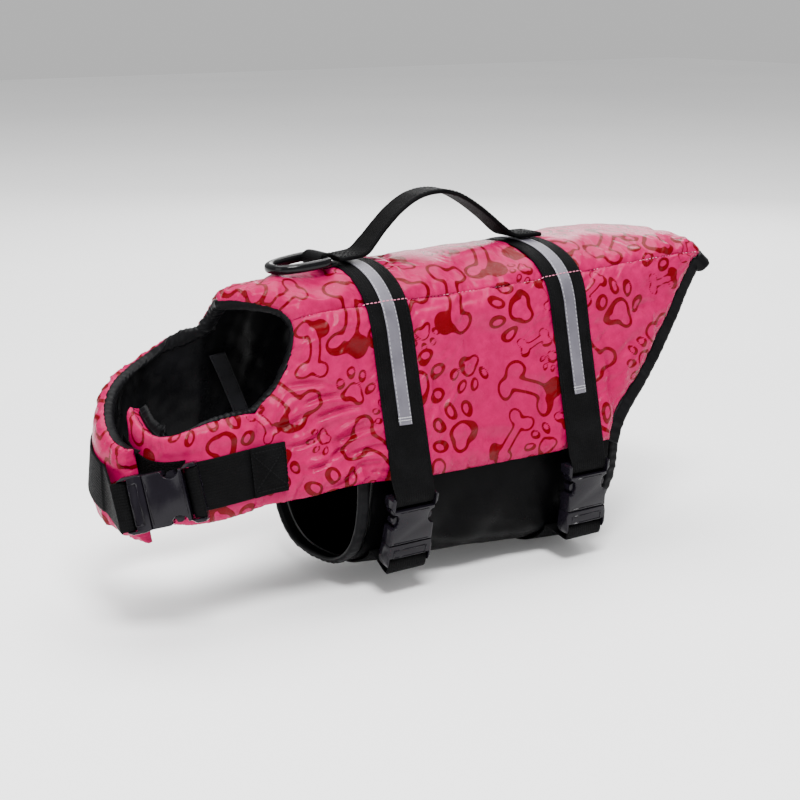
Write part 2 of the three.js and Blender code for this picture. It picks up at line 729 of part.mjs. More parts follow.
for (const { name, x, topRow, lean, plugRow } of straps) {
  const end = skin(x, -topRow, REST + WEBBING_THICK + 1.4);
  const up = new THREE.Vector3(0, -Math.sin(lean), Math.cos(lean));
  const frame = buckleFrame(end, up, new THREE.Vector3(0, -1, 0));
  addBuckle(name, frame);
  const rows = [
    ...steps(-topRow + 0.5, -CROWN_ROWS, 9),
    ...steps(-CROWN_ROWS + 0.5, CROWN_ROWS - 0.5, 22),
    ...steps(CROWN_ROWS, HEM_ROW - 0.2, 8),
  ];
  const over = [
    ...buckleRungs(frame, socketTurn),
    ...rows.map((row) => surfaceRung(skin, x, row, HALF, REST)),
  ];
  add(`strap_${name}`, ribbon(over, WEBBING_THICK), BLACK_WEBBING, 0.7);
  const under = [
    ...steps(BELLY_ROWS - TUCK_ROWS - 0.3, plugRow, 18)
      .map((row) => surfaceRung(belly, x, row, HALF, 0.4)),
    ...buckleRungs(frame, plugTurn).reverse(),
  ];
  add(`belly_strap_${name}`, ribbon(under, WEBBING_THICK), BLACK_WEBBING, 0.7);
  const tape = steps(-TAPE_ROW, TAPE_ROW, 38)
    .map((row) => surfaceRung(skin, x, row, TAPE_WIDTH / 2, REST + WEBBING_THICK + GAP));
  add(`reflective_tape_${name}`, ribbon(tape, TAPE_THICK), REFLECTOR, 0.3);
}

// Neck closure: webbing sewn along each chest band, joined by a buckle at the near corner
const neckTop = new THREE.Vector3(-229, -71.5, -109);
const neckEnd = new THREE.Vector3(-268.5, -39.5, -121);
const neckUp = neckTop.clone().sub(neckEnd);
const neckFrame = buckleFrame(neckTop, neckUp, new THREE.Vector3(-0.62, -0.78, 0.16));
addBuckle('neck', neckFrame);

function bandRung(column, band, share, lift) {
  const rows = HEM_ROW - band.firstRow;
  const top = shell(column, band.side * band.firstRow, lift);
  const low = shell(column, band.side * HEM_ROW, lift);
  const half = HALF / top.distanceTo(low) * rows;
  const middle = band.firstRow + share * rows;
  const at = (row) => shell(column, band.side * row, lift);
  const out = shell(column, band.side * middle, lift + 1).sub(at(middle)).normalize();
  return { under: [at(middle - half), at(middle + half)], out };
}

const nearStrap = [
  ...steps(1.4, -5.6, 12).map((column) => bandRung(column, leftBand, 0.6, REST)),
  ...buckleRungs(neckFrame, socketTurn).reverse(),
];
add('neck_strap_left', ribbon(nearStrap, WEBBING_THICK), BLACK_WEBBING, 0.7);

const farStrap = [
  ...steps(1.4, 1 - rightReach + 1.6, 24).map((column) => (
    bandRung(column, rightBand, THREE.MathUtils.mapLinear(column, 0, -rightReach, 0.66, 0.52), REST)
  )),
  ...buckleRungs(neckFrame, plugTurn).reverse(),
];
add('neck_strap_right', ribbon(farStrap, WEBBING_THICK), BLACK_WEBBING, 0.7);

// Hook pad sewn on the near band, from the webbing's turn to the band's front end
const padRungs = steps(-5.9, 0.15 - leftReach, 12).map((column) => {
  const [top, low] = [10.5, 12.6];
  const at = (row) => shell(column, -row, REST);
  const out = shell(column, -12, REST + 1).sub(at(12)).normalize();
  return { under: [at(top), at(low)], out };
});
add('hook_pad', ribbon(padRungs, 1.2), SATIN, 0.9);

// Grab handle: webbing folded double, its feet sewn flat over the two straps
const HANDLE_HALF = 12;
const HANDLE_THICK = 3;
const handlePath = [
  { x: -85, z: 13.2 },
  { x: -75, z: 13.6 },
  { x: -63, z: 15.5 },
  { x: -55, z: 22 },
  { x: -45, z: 32 },
  { x: -32, z: 43 },
  { x: -17, z: 51 },
  { x: -1, z: 53.5 },
  { x: 14, z: 51 },
  { x: 29, z: 43.5 },
  { x: 45, z: 32.5 },
  { x: 59, z: 21.5 },
  { x: 67, z: 17.2 },
  { x: 76, z: 16.2 },
  { x: 91, z: 16 },
];
const handleCurve = new THREE.CatmullRomCurve3(handlePath.map(({ x, z }) => new THREE.Vector3(x, 0, z)));
const handleRungs = steps(0, 1, 44).map((t) => {
  const point = handleCurve.getPoint(t);
  const out = new THREE.Vector3().crossVectors(handleCurve.getTangent(t), new THREE.Vector3(0, 1, 0));
  return {
    under: [point.clone().setY(-HANDLE_HALF), point.clone().setY(HANDLE_HALF)],
    out,
  };
});
add('handle', ribbon(handleRungs, HANDLE_THICK), BLACK_WEBBING, 0.8);

// Leash ring: a moulded D lying towards the neck, its bar held in a folded webbing tab
const RING_LENGTH = 42;
const RING_HALF = 19.5;
const RING_STOCK = 6.6;
const RING_THICK = 6.6;
const RING_BEVEL = 2;
const RING_PIVOT = new THREE.Vector3(-97, 0, 14.9);
const RING_REST = 0.1;
const TAB_HALF = 11.5;

function ringOutline(inset) {
  const bar = RING_STOCK / 2 - inset;
  const half = RING_HALF - inset;
  const bow = RING_LENGTH - RING_STOCK / 2 - inset;
  const squared = (value, power) => Math.sign(value) * Math.abs(value) ** power;
  const points = steps(0, Math.PI, 14).map((turn) => new THREE.Vector2(
    -bow * squared(Math.sin(turn), 0.85),
    half * squared(Math.cos(turn), 0.75),
  ));
  return [new THREE.Vector2(bar, half), ...points, new THREE.Vector2(bar, -half)];
}

const ringShape = new THREE.Shape(ringOutline(0));
ringShape.holes.push(new THREE.Path(ringOutline(RING_STOCK)));
const ring = new THREE.Group();
ring.position.copy(RING_PIVOT);
ring.rotation.y = -RING_REST;
jacket.add(ring);
add('leash_ring', plate(ringShape, RING_THICK, RING_BEVEL, 0), PLASTIC, 0.35, ring);

const TAB_CLEAR = 0.65;
const tabRadius = RING_STOCK / 2 + TAB_CLEAR;
const tabEnd = -86.6;
const tabFoot = skin(tabEnd, 0, REST).z;
const tabTurn = steps(-Math.PI / 2, Math.PI / 2, 10).map((turn) => ({
  x: RING_PIVOT.x - tabRadius * Math.cos(turn),
  z: RING_PIVOT.z + tabRadius * Math.sin(turn),
}));
const tabPath = [
  { x: tabEnd, z: tabFoot + WEBBING_THICK },
  { x: RING_PIVOT.x + 6, z: tabFoot + WEBBING_THICK + 0.2 },
  ...tabTurn,
  { x: RING_PIVOT.x + 5, z: RING_PIVOT.z + tabRadius - 1 },
  { x: tabEnd, z: tabFoot + 2 * WEBBING_THICK + 2 },
];
const tabRungs = tabPath.map(({ x, z }, i) => {
  const before = tabPath[Math.max(i - 1, 0)];
  const after = tabPath[Math.min(i + 1, tabPath.length - 1)];
  const out = new THREE.Vector3(before.z - after.z, 0, after.x - before.x).normalize();
  return {
    under: [new THREE.Vector3(x, -TAB_HALF, z), new THREE.Vector3(x, TAB_HALF, z)],
    out,
  };
});
add('ring_tab', ribbon(tabRungs, WEBBING_THICK), BLACK_WEBBING, 0.7);

export default jacket;
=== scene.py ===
import math

import bmesh
import bpy
import numpy as np
from mathutils import Matrix, Vector, kdtree


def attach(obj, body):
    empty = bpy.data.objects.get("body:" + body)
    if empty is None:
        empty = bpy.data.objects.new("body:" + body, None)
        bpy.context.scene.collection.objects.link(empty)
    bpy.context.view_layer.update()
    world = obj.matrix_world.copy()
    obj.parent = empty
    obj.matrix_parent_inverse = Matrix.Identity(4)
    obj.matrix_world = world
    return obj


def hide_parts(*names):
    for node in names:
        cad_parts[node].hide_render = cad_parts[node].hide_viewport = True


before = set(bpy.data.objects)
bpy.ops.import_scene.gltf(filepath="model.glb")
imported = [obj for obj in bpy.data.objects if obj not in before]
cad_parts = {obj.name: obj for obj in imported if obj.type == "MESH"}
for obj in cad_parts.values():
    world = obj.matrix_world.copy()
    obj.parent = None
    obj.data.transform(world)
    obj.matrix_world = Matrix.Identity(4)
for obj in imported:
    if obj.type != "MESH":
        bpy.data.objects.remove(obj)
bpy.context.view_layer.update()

# A dog's buoyancy jacket in the worn pose. Sizes are in millimetres up to the meshes
MM = 0.001
GAP = 0.3
LINING = 1.5
PAD = 9.2
SURFACE = LINING + GAP + PAD
WEBBING_THICK = 1.6
HALF = 16
FRONT_X = -171
FRONT_STRAP = -70
REAR_STRAP = 77

# The cloth net: rows run from hem to hem over the back, columns from the neck to the tail
SEAM_ROW = 4
HEM_ROW = 14
COLUMNS = 32
LEFT_FIRST = 9
RIGHT_FIRST = 5
LEFT_REACH = 14
RIGHT_REACH = 16

# x, crown height, half-width, depth of the crown, widening of the sides, squareness
STATIONS = np.array([
    (-185, -1, 38, 39, 0.19, 2),
    (-165, 2, 40, 40, 0.205, 2),
    (-120, 8, 46, 42, 0.23, 2),
    (-70, 10, 50, 42, 0.245, 2),
    (0, 11, 54, 41, 0.24, 2.05),
    (76, 13, 59, 40, 0.23, 2.2),
    (150, 13.5, 62, 38, 0.21, 3),
    (215, 9.5, 60, 34, 0.19, 4.6),
    (240, 7, 59, 32, 0.18, 4.6),
], float)
HEM = np.array([
    (-190, -133), (-152, -130.5), (-107, -126), (-60, -127.5), (20, -127), (110, -124.5),
], float)
# row, x at the neck on the left and on the right, x at the tail
ROW_ENDS = np.array([
    (0, -174, -174, 217), (1, -166, -172, 217), (2, -156, -169, 217), (3, -144, -167, 216),
    (4, -139, -168, 213), (5, -139, FRONT_X, 203), (6, -142, FRONT_X, 188),
    (7, -148, FRONT_X, 178), (8, -157, FRONT_X, 167), (9, FRONT_X, FRONT_X, 156),
    (10, FRONT_X, FRONT_X, 144), (11, FRONT_X, FRONT_X, 131), (12, FRONT_X, FRONT_X, 118),
    (13, FRONT_X, FRONT_X, 108), (14, FRONT_X, FRONT_X, 102),
], float)
# Chest bands: step, upper edge x y z, lower edge x y z
LEFT_BAND = {"side": -1, "first": LEFT_FIRST, "edges": [
    (1, -192, -50.5, -72, -193, -63.5, -133),
    (2, -211, -50.5, -73, -213, -62, -135),
    (3, -227, -46, -76, -230, -55.5, -136),
    (4, -238, -37, -78.5, -240.5, -44, -136),
    (5, -243, -24, -78, -244.5, -28, -135),
    (6, -243.5, -9, -73, -245.5, -10, -132),
    (7, -241, 6, -67, -244, 6, -129),
]}
RIGHT_BAND = {"side": 1, "first": RIGHT_FIRST, "edges": [
    (1, -189, 52, -37, -192, 64, -132),
    (2, -208, 54.5, -46, -213, 63, -133),
    (3, -226, 51, -54, -233, 57.5, -135),
    (4, -242, 41, -62, -249, 46, -138),
    (5, -254, 25, -72, -259, 27, -141),
    (6, -259.5, 9, -81, -262.5, 6, -144),
    (7, -260.5, -7, -87, -260.5, -17, -147.5),
    (8, -259.5, -21, -88, -253.5, -36, -150),
]}
# Blocks of the net: first column, last column, first row, last row
CROWN_BLOCKS = [(0, COLUMNS, -SEAM_ROW, SEAM_ROW)]
LEFT_BLOCKS = [(0, COLUMNS, -HEM_ROW, -SEAM_ROW), (-LEFT_REACH, 0, -HEM_ROW, -LEFT_FIRST)]
RIGHT_BLOCKS = [(0, COLUMNS, SEAM_ROW, HEM_ROW), (-RIGHT_REACH, 0, RIGHT_FIRST, HEM_ROW)]
SHELL_BLOCKS = CROWN_BLOCKS + LEFT_BLOCKS + RIGHT_BLOCKS


def unit(v):
    return v / np.maximum(np.linalg.norm(v, axis=-1, keepdims=True), 1e-9)


def smoothstep(low, high, v):
    t = np.clip((v - low) / (high - low), 0, 1)
    return t * t * (3 - 2 * t)


def running(points):
    """Length along a row of points, from zero."""
    return np.concatenate([[0], np.cumsum(np.linalg.norm(np.diff(points, axis=0), axis=1))])


def follow(values, s, at):
    return np.stack([np.interp(at, s, values[:, k]) for k in range(3)], -1)


def curve(table, column, at):
    """A smooth curve through a column of a table, over its first column."""
    xs, ys = table[:, 0], table[:, column]
    last = len(xs) - 1
    at = np.clip(at, xs[0], xs[-1])
    i = np.clip(np.searchsorted(xs, at) - 1, 0, last - 1)
    before, after = np.maximum(np.arange(last + 1) - 1, 0), np.minimum(np.arange(last + 1) + 1, last)
    slope = (ys[after] - ys[before]) / (xs[after] - xs[before])
    span = xs[i + 1] - xs[i]
    t = (at - xs[i]) / span
    u = 1 - t
    start = (1 + 2 * t) * u * u * ys[i]
    end = t * t * (3 - 2 * t) * ys[i + 1]
    return start + end + span * t * u * (u * slope[i] - t * slope[i + 1])


def outer(x, row):
    """The filled jacket's outer face."""
    x, row = np.broadcast_arrays(np.asarray(x, float), np.asarray(row, float))
    side = np.where(row < 0, -1.0, 1.0)
    down = np.abs(row)
    top, half, drop, flare, square = (curve(STATIONS, k, x) for k in range(1, 6))
    power = 2 / square
    turn = np.minimum(down / 6, 1) * math.pi / 2
    y = half * np.sin(turn) ** power
    depth = drop * (1 - np.maximum(np.cos(turn), 0) ** power)
    full = top - curve(HEM, 1, x)
    depth = depth + np.where(down > 6, (full - drop) * (down - 6) / 8, 0)
    below = np.maximum(depth - 0.7 * drop, 0)
    y = y + flare * below * below / (below + 8)
    return np.stack([x, side * y, top - depth], -1)


def skin_normal(x, row):
    along = outer(x + 1, row) - outer(x - 1, row)
    down = outer(x, row + 0.05) - outer(x, row - 0.05)
    return unit(np.cross(along, down))


def skin(x, row, lift):
    """A point at a lift over the lining's inner face."""
    return outer(x, row) + skin_normal(x, row) * (np.asarray(lift, float)[..., None] - SURFACE)


def band_outer(band, steps, row):
    side, first = band["side"], band["first"]
    root = (0, *outer(FRONT_X, side * first), *outer(FRONT_X, side * HEM_ROW))
    table = np.array([root, *band["edges"]], float)
    at = np.asarray(steps, float) / 2
    top = np.stack([curve(table, k, at) for k in (1, 2, 3)], -1)
    low = np.stack([curve(table, k, at) for k in (4, 5, 6)], -1)
    t = ((np.abs(row) - first) / (HEM_ROW - first))[..., None]
    return top + (low - top) * t


def shell_net():
    """The whole shell as one net of outer points, from the bands' ends to the tail."""
    rows = np.arange(-HEM_ROW, HEM_ROW + 1, dtype=float)
    net = np.zeros((RIGHT_REACH + COLUMNS + 1, len(rows), 3))
    for i, row in enumerate(rows):
        front = np.interp(abs(row), ROW_ENDS[:, 0], ROW_ENDS[:, 1 if row < 0 else 2])
        rear = np.interp(abs(row), ROW_ENDS[:, 0], ROW_ENDS[:, 3])
        x = front + (rear - front) * np.arange(COLUMNS + 1) / COLUMNS
        net[RIGHT_REACH:, i] = outer(x, row)
    zero = RIGHT_REACH
    left = np.arange(0, HEM_ROW - LEFT_FIRST + 1)
    right = np.arange(HEM_ROW + RIGHT_FIRST, 2 * HEM_ROW + 1)
    a, b = left[-1], right[0]
    for back in range(1, RIGHT_REACH + 1):
        c = zero - back
        if back <= LEFT_REACH:
            net[c, left] = band_outer(LEFT_BAND, np.full(len(left), back), rows[left])
        else:
            net[c, left] = 2 * net[c + 1, left] - net[c + 2, left]
        net[c, right] = band_outer(RIGHT_BAND, np.full(len(right), back), rows[right])
        for i in range(a + 1, b):
            w = (b - i) / (b - a)
            net[c, i] = net[zero, i] + w * (net[c, a] - net[zero, a])
            net[c, i] += (1 - w) * (net[c, b] - net[zero, b])
    return net


def spline_matrix(at, count):
    """Catmull-Rom weights of count values at fractional places."""
    matrix = np.zeros((len(at), count))
    for k, p in enumerate(at):
        i = int(min(max(math.floor(p), 0), count - 2))
        t = p - i
        weights = (
            (-t + 2 * t * t - t ** 3) / 2,
            (2 - 5 * t * t + 3 * t ** 3) / 2,
            (t + 4 * t * t - 3 * t ** 3) / 2,
            (-t * t + t ** 3) / 2,
        )
        for j, w in zip(range(i - 1, i + 3), weights):
            if j < 0:
                matrix[k, 0] += 2 * w
                matrix[k, 1] -= w
            elif j >= count:
                matrix[k, count - 1] += 2 * w
                matrix[k, count - 2] -= w
            else:
                matrix[k, j] += w
    return matrix


def fine(values, parts):
    out = [values[0]]
    for a, b in zip(values[:-1], values[1:]):
        n = parts(0.5 * (a + b))
        out += [a + (b - a) * (j + 1) / n for j in range(n)]
    return np.array(out)


NET = shell_net()


def net_at(column, row):
    column, row = np.broadcast_arrays(np.asarray(column, float), np.asarray(row, float))
    a = spline_matrix(column + RIGHT_REACH, NET.shape[0])
    b = spline_matrix(row + HEM_ROW, NET.shape[1])
    return np.einsum("ki,ijc,kj->kc", a, NET, b)


def net_point(column, row, lift, step=0.04):
    """Points over the smooth cloth at fractional columns and rows, and their normals."""
    p = net_at(column, row)
    n = unit(np.cross(net_at(column + step, row) - p, net_at(column, row + step) - p))
    return p + n * (lift - SURFACE), n


class Cloth:
    """The smooth outer face over the net, with normals and flat cloth coordinates."""

    def __init__(self, column_parts, row_parts):
        self.c = fine(list(range(-RIGHT_REACH, COLUMNS + 1)), column_parts)
        self.r = fine(list(range(-HEM_ROW, HEM_ROW + 1)), row_parts)
        a = spline_matrix(self.c + RIGHT_REACH, NET.shape[0])
        b = spline_matrix(self.r + HEM_ROW, NET.shape[1])
        self.p = np.einsum("ci,ijk,rj->crk", a, NET, b)
        self.n = unit(np.cross(np.gradient(self.p, axis=0), np.gradient(self.p, axis=1)))
        self.flat()

    def flat(self):
        across = np.linalg.norm(np.diff(self.p, axis=1)[..., 1:], axis=-1)
        v = np.concatenate([np.zeros((len(self.c), 1)), np.cumsum(across, axis=1)], axis=1)
        v -= v[:, [self.row(0)]]
        zero = self.column(0)
        u = self.p[..., 0].copy()
        steps = np.linalg.norm(np.diff(self.p[:zero + 1], axis=0), axis=-1)
        for edge, keep in ((-LEFT_FIRST, self.r <= -LEFT_FIRST), (RIGHT_FIRST, self.r >= RIGHT_FIRST)):
            shift = v[zero, self.row(edge)] - v[:zero, self.row(edge)]
            v[:zero, keep] += shift[:, None]
            run = np.cumsum(steps[::-1][:, keep].mean(axis=1))[::-1]
            u[:zero, keep] = u[zero, keep] - run[:, None]
        self.u, self.v = u, v

    def column(self, c):
        return int(np.argmin(np.abs(self.c - c)))

    def row(self, r):
        return int(np.argmin(np.abs(self.r - r)))

    def cells(self, blocks):
        mask = np.zeros((len(self.c) - 1, len(self.r) - 1), bool)
        for c0, c1, r0, r1 in blocks:
            mask[self.column(c0):self.column(c1), self.row(r0):self.row(r1)] = True
        return mask

    def patch(self, mask):
        """The points that masked cells touch, their numbers and the cells' faces."""
        used = np.zeros((len(self.c), len(self.r)), bool)
        for dc in (0, 1):
            for dr in (0, 1):
                used[dc:mask.shape[0] + dc, dr:mask.shape[1] + dr] |= mask
        index = np.full(used.shape, -1)
        index[used] = np.arange(used.sum())
        ci, ri = np.nonzero(mask)
        corners = [index[ci, ri], index[ci + 1, ri], index[ci + 1, ri + 1], index[ci, ri + 1]]
        return used, index, np.stack(corners, 1).tolist()

    def edges(self):
        """The neck edge, the bands' ends, the hems and the tail edge."""
        zero, left, right = (self.column(c) for c in (0, -LEFT_REACH, -RIGHT_REACH))
        upper, lower = self.row(-LEFT_FIRST), self.row(RIGHT_FIRST)
        p = self.p
        neck = np.concatenate([p[left:zero, upper], p[zero, upper:lower], p[right:zero + 1, lower][::-1]])
        return [neck, p[left, :upper + 1], p[right, lower:], p[left:, 0], p[right:, -1], p[-1]]


class Nearest:
    """Distance to a set of polylines and the running length at the nearest point."""

    def __init__(self, lines, spacing=1.5):
        points, run = [], []
        base = 0.0
        for line in lines:
            s = running(line)
            at = np.linspace(0, s[-1], max(int(s[-1] / spacing), 2))
            points.append(follow(line, s, at))
            run.append(at + base)
            base += s[-1] + 50
        points, self.run, self.length = np.concatenate(points), np.concatenate(run), base
        self.tree = kdtree.KDTree(len(points))
        for i, p in enumerate(points):
            self.tree.insert(p, i)
        self.tree.balance()

    def __call__(self, where):
        flat = where.reshape(-1, 3)
        index = np.empty(len(flat), int)
        dist = np.empty(len(flat))
        for k, p in enumerate(flat.tolist()):
            _, index[k], dist[k] = self.tree.find(p)
        return dist.reshape(where.shape[:-1]), self.run[index].reshape(where.shape[:-1])


# Folds
def puckers(s, d, seed, length, spacing, amount, reach, width):
    """Short folds that run in from an edge at distance d and length s along it."""
    rng = np.random.default_rng(seed)
    out = np.zeros_like(s)
    at = 0.0
    while at < length:
        at += spacing * rng.uniform(0.55, 1.5)
        a = amount * rng.uniform(0.35, 1.2) * (1 if rng.random() < 0.4 else -1)
        w = width * rng.uniform(0.7, 1.5)
        far = reach * rng.uniform(0.5, 1.5)
        slant = rng.normal(0, 0.35)
        m = (np.abs(s - at) < 3 * w + 2.4 * abs(slant) * far) & (d < 2.4 * far)
        q = (s[m] - at - slant * d[m]) / w
        out[m] += a * np.exp(-q * q - (d[m] / far) ** 2)
    return out


def waves(u, v, seed, shortest, longest, amount, count=7):
    rng = np.random.default_rng(seed)
    out = np.zeros_like(u)
    for _ in range(count):
        turn = rng.uniform(0, math.pi)
        k = 2 * math.pi / rng.uniform(shortest, longest)
        phase = rng.uniform(0, 2 * math.pi)
        out += np.sin(k * (u * math.cos(turn) + v * math.sin(turn)) + phase)
    return out * amount / math.sqrt(count)


def stroke(x, y, x1, y1, x2, y2, width, depth):
    """A trough, or a ridge if depth is positive, with a softer bank on one side."""
    dx, dy = x2 - x1, y2 - y1
    size = math.hypot(dx, dy)
    t = ((x - x1) * dx + (y - y1) * dy) / size ** 2
    side = ((x - x1) * dy - (y - y1) * dx) / size
    taper = smoothstep(-0.15, 0.25, t) * (1 - smoothstep(0.55, 1.15, t))
    bend = side + 0.06 * size * np.sin(math.pi * np.clip(t, 0, 1))
    core = np.exp(-(bend / width) ** 2)
    bank = np.exp(-((bend - 1.9 * width) / (1.3 * width)) ** 2)
    return depth * taper * (core - 0.45 * bank)


def gathers(seed, length, spacing, amount, slant=2.0):
    """Relief of a gathered strip, over the length along it and the share across it."""
    rng = np.random.default_rng(seed)
    ridges = []
    at = 0.0
    while at < length:
        at += spacing * rng.uniform(0.6, 1.4)
        lean, width = rng.uniform(-slant, slant), spacing * rng.uniform(0.28, 0.42)
        ridges.append((at, lean, width, amount * rng.uniform(0.4, 1.1)))

    def relief(s, u):
        out = np.zeros(s.shape)
        for c, lean, width, high in ridges:
            m = np.abs(s - c) < 4 * width + abs(lean)
            q = (s[m] - c - lean * (u[m] - 0.5)) / width
            out[m] += high * np.exp(-q * q)
        return out
    return relief


# The print: paws and bones of the builder's own drawing, laid out by seeded chance

# kind, size, most of them, tries
MOTIFS = (
    ("bone", 57, 34, 900), ("paw", 47, 40, 1300), ("bone", 41, 70, 3000),
    ("paw", 34, 90, 5000), ("bone", 28, 70, 5000), ("paw", 22, 300, 9000),
)
# Middle and turn of a paw's toes
TOES = ((-0.37, 0.06, 0.5), (-0.15, 0.31, 0.15), (0.15, 0.31, -0.15), (0.37, 0.06, -0.5))
# Place along a bone and radius of the discs that cover it
BONE_DISCS = ((-0.35, 0.25), (0, 0.17), (0.35, 0.25))
BARE = -9.0


def turned(x, y, angle):
    c, s = math.cos(angle), math.sin(angle)
    return c * x + s * y, -s * x + c * y


def smooth_union(a, b, k):
    h = np.maximum(k - np.abs(a - b), 0) / k
    return np.minimum(a, b) - h * h * k / 4


def bone_ink(x, y, size, toward):
    """Ink of a bone's outline, which swells into a crescent on the side it leans toward."""
    r = 0.15 * size
    shaft_end = 0.5 * size - 1.3 * r
    waist = 0.115 * size * (0.9 + 0.3 * (x / (0.5 * size)) ** 2)
    d = np.hypot(x - np.clip(x, -shaft_end, shaft_end), y) - waist
    for sx in (-1, 1):
        for sy in (-1, 1):
            lobe = np.hypot(x - sx * (0.5 * size - r), y - sy * 0.14 * size) - r
            d = smooth_union(d, lobe, 0.07 * size)
    g = np.clip((x * toward[0] + 1.6 * y * toward[1]) / (0.5 * size), 0, 1)
    width = 0.046 * size + 0.17 * size * smoothstep(0.4, 0.85, g)
    return np.minimum(-d, width + d)


def paw_ink(x, y, size, toward):
    pad = np.hypot(x, y + 0.06 * size) - 0.2 * size
    for sx in (-1, 1):
        heel = np.hypot(x - sx * 0.15 * size, y + 0.2 * size) - 0.13 * size
        pad = smooth_union(pad, heel, 0.12 * size)
    g = np.clip((x * toward[0] + (y + 0.12 * size) * toward[1]) / (0.3 * size), 0, 1)
    ink = np.minimum(-pad, 0.055 * size + 0.17 * size * g ** 1.5 + pad)
    rx, ry = 0.105 * size, 0.15 * size
    for cx, cy, turn in TOES:
        qx, qy = turned(x - cx * size, y - cy * size, turn)
        toe = (np.hypot(qx / rx, qy / ry) - 1) * rx
        g = np.clip((qx * toward[0] + qy * toward[1]) / rx, 0, 1)
        ink = np.maximum(ink, np.minimum(-toe, 0.046 * size + 0.09 * size * g + toe))
    return ink


def discs(kind, u, v, size, turn):
    """Discs that cover a motif, to keep its neighbours off."""
    if kind == "paw":
        return [(u, v, 0.46 * size)]
    c, s = math.cos(turn), math.sin(turn)
    return [(u + k * size * c, v + k * size * s, r * size) for k, r in BONE_DISCS]


def clear_of(own, taken, space=0.3):
    return all(math.hypot(p[0] - q[0], p[1] - q[1]) > p[2] + q[2] + space for p in own for q in taken)


def print_layout():
    rng = np.random.default_rng(41)
    placed, taken = [], []
    for kind, size, limit, tries in MOTIFS:
        count = 0
        for _ in range(tries):
            u, v = rng.uniform(-345, 235), rng.uniform(-185, 185)
            turn, lean = rng.uniform(0, 2 * math.pi), rng.uniform(0, 2 * math.pi)
            own = discs(kind, u, v, size, turn)
            if clear_of(own, taken):
                placed.append((kind, u, v, size * rng.uniform(0.94, 1.04), turn, lean))
                taken += own
                count += 1
                if count >= limit:
                    break
    return placed


LAYOUT = print_layout()


def print_ink(u, v):
    ink = np.full(u.shape, BARE)
    for kind, cu, cv, size, turn, lean in LAYOUT:
        m = np.hypot(u - cu, v - cv) < 0.7 * size
        if not m.any():
            continue
        x, y = turned(u[m] - cu, v[m] - cv, turn)
        sway, bob = np.sin(9 * y / size + lean), np.sin(8 * x / size + turn)
        x, y = x + 0.02 * size * sway, y + 0.02 * size * bob
        draw = bone_ink if kind == "bone" else paw_ink
        ink[m] = np.maximum(ink[m], draw(x, y, size, (math.cos(lean), math.sin(lean))))
    return ink


# Materials
class Shader:
    def __init__(self, name):
        self.material = bpy.data.materials.new(name)
        self.material.use_nodes = True
        self.tree = self.material.node_tree
        self.bsdf = self.tree.nodes["Principled BSDF"]

    def put(self, socket, value):
        if isinstance(value, bpy.types.NodeSocket):
            self.tree.links.new(value, socket)
        else:
            socket.default_value = value

    def node(self, kind, inputs=None, **settings):
        made = self.tree.nodes.new(kind)
        for key, value in settings.items():
            setattr(made, key, value)
        for key, value in (inputs or {}).items():
            self.put(made.inputs[key], value)
        return made

    def place(self, kind):
        return self.node("ShaderNodeTexCoord").outputs[kind]

    def math(self, operation, a, b=0.0):
        return self.node("ShaderNodeMath", {0: a, 1: b}, operation=operation).outputs[0]

    def mix(self, factor, a, b):
        return self.node("ShaderNodeMix", {0: factor, 6: a, 7: b}, data_type="RGBA").outputs[2]

    def ramp(self, value, low, high, to_low=0.0, to_high=1.0, kind="LINEAR"):
        inputs = {0: value, 1: low, 2: high, 3: to_low, 4: to_high}
        return self.node("ShaderNodeMapRange", inputs, interpolation_type=kind).outputs[0]

    def noise(self, scale, detail=3.0, rough=0.5):
        inputs = {"Vector": self.place("Object"), "Scale": scale, "Detail": detail, "Roughness": rough}
        return self.node("ShaderNodeTexNoise", inputs).outputs[0]

    def cloud(self, scale, detail, low, high, to_low=0.0, to_high=1.0):
        return self.ramp(self.noise(scale, detail), low, high, to_low, to_high)

    def uv(self):
        made = self.node("ShaderNodeSeparateXYZ", {0: self.place("UV")})
        return made.outputs[0], made.outputs[1]

    def wave(self, value, pitch):
        return self.math("SINE", self.math("MULTIPLY", value, 2 * math.pi / pitch))

    def bump(self, height, strength, distance, normal=None):
        inputs = {"Height": height, "Strength": strength, "Distance": distance}
        if normal is not None:
            inputs["Normal"] = normal
        return self.node("ShaderNodeBump", inputs).outputs[0]

    def finish(self, **inputs):
        for key, value in inputs.items():
            self.put(self.bsdf.inputs[key.replace("_", " ")], value)
        return self.material


def tone(value, blue=1.0):
    return (value, value, value * blue, 1)


def brighter(color, factor):
    return tuple(factor * c for c in color) + (1,)


def print_material():
    sh = Shader("print_nylon")
    u, v = sh.uv()
    ink = sh.node("ShaderNodeAttribute", attribute_name="ink").outputs["Fac"]
    covered = sh.ramp(ink, -0.12, 0.28, kind="SMOOTHSTEP")
    cloth = sh.mix(sh.cloud(9.0, 2.0, 0.3, 0.7), (0.31, 0.0002, 0.056, 1), (0.37, 0.0003, 0.072, 1))
    mottled = sh.mix(sh.cloud(160.0, 3.0, 0.35, 0.75), cloth, (0.27, 0.0002, 0.047, 1))
    dye = sh.mix(sh.cloud(60.0, 3.0, 0.3, 0.75), (0.095, 0.0001, 0.002, 1), (0.12, 0.0002, 0.004, 1))
    weave = sh.math("ADD", sh.wave(u, 0.62), sh.wave(v, 0.62))
    normal = sh.bump(sh.noise(420.0, 2.0), 0.10, 0.0006, sh.bump(weave, 0.10, 0.0002))
    rough = sh.cloud(70.0, 3.0, 0.3, 0.7, 0.21, 0.31)
    return sh.finish(Base_Color=sh.mix(covered, mottled, dye), Roughness=rough, Normal=normal,
                     Specular_IOR_Level=0.085)


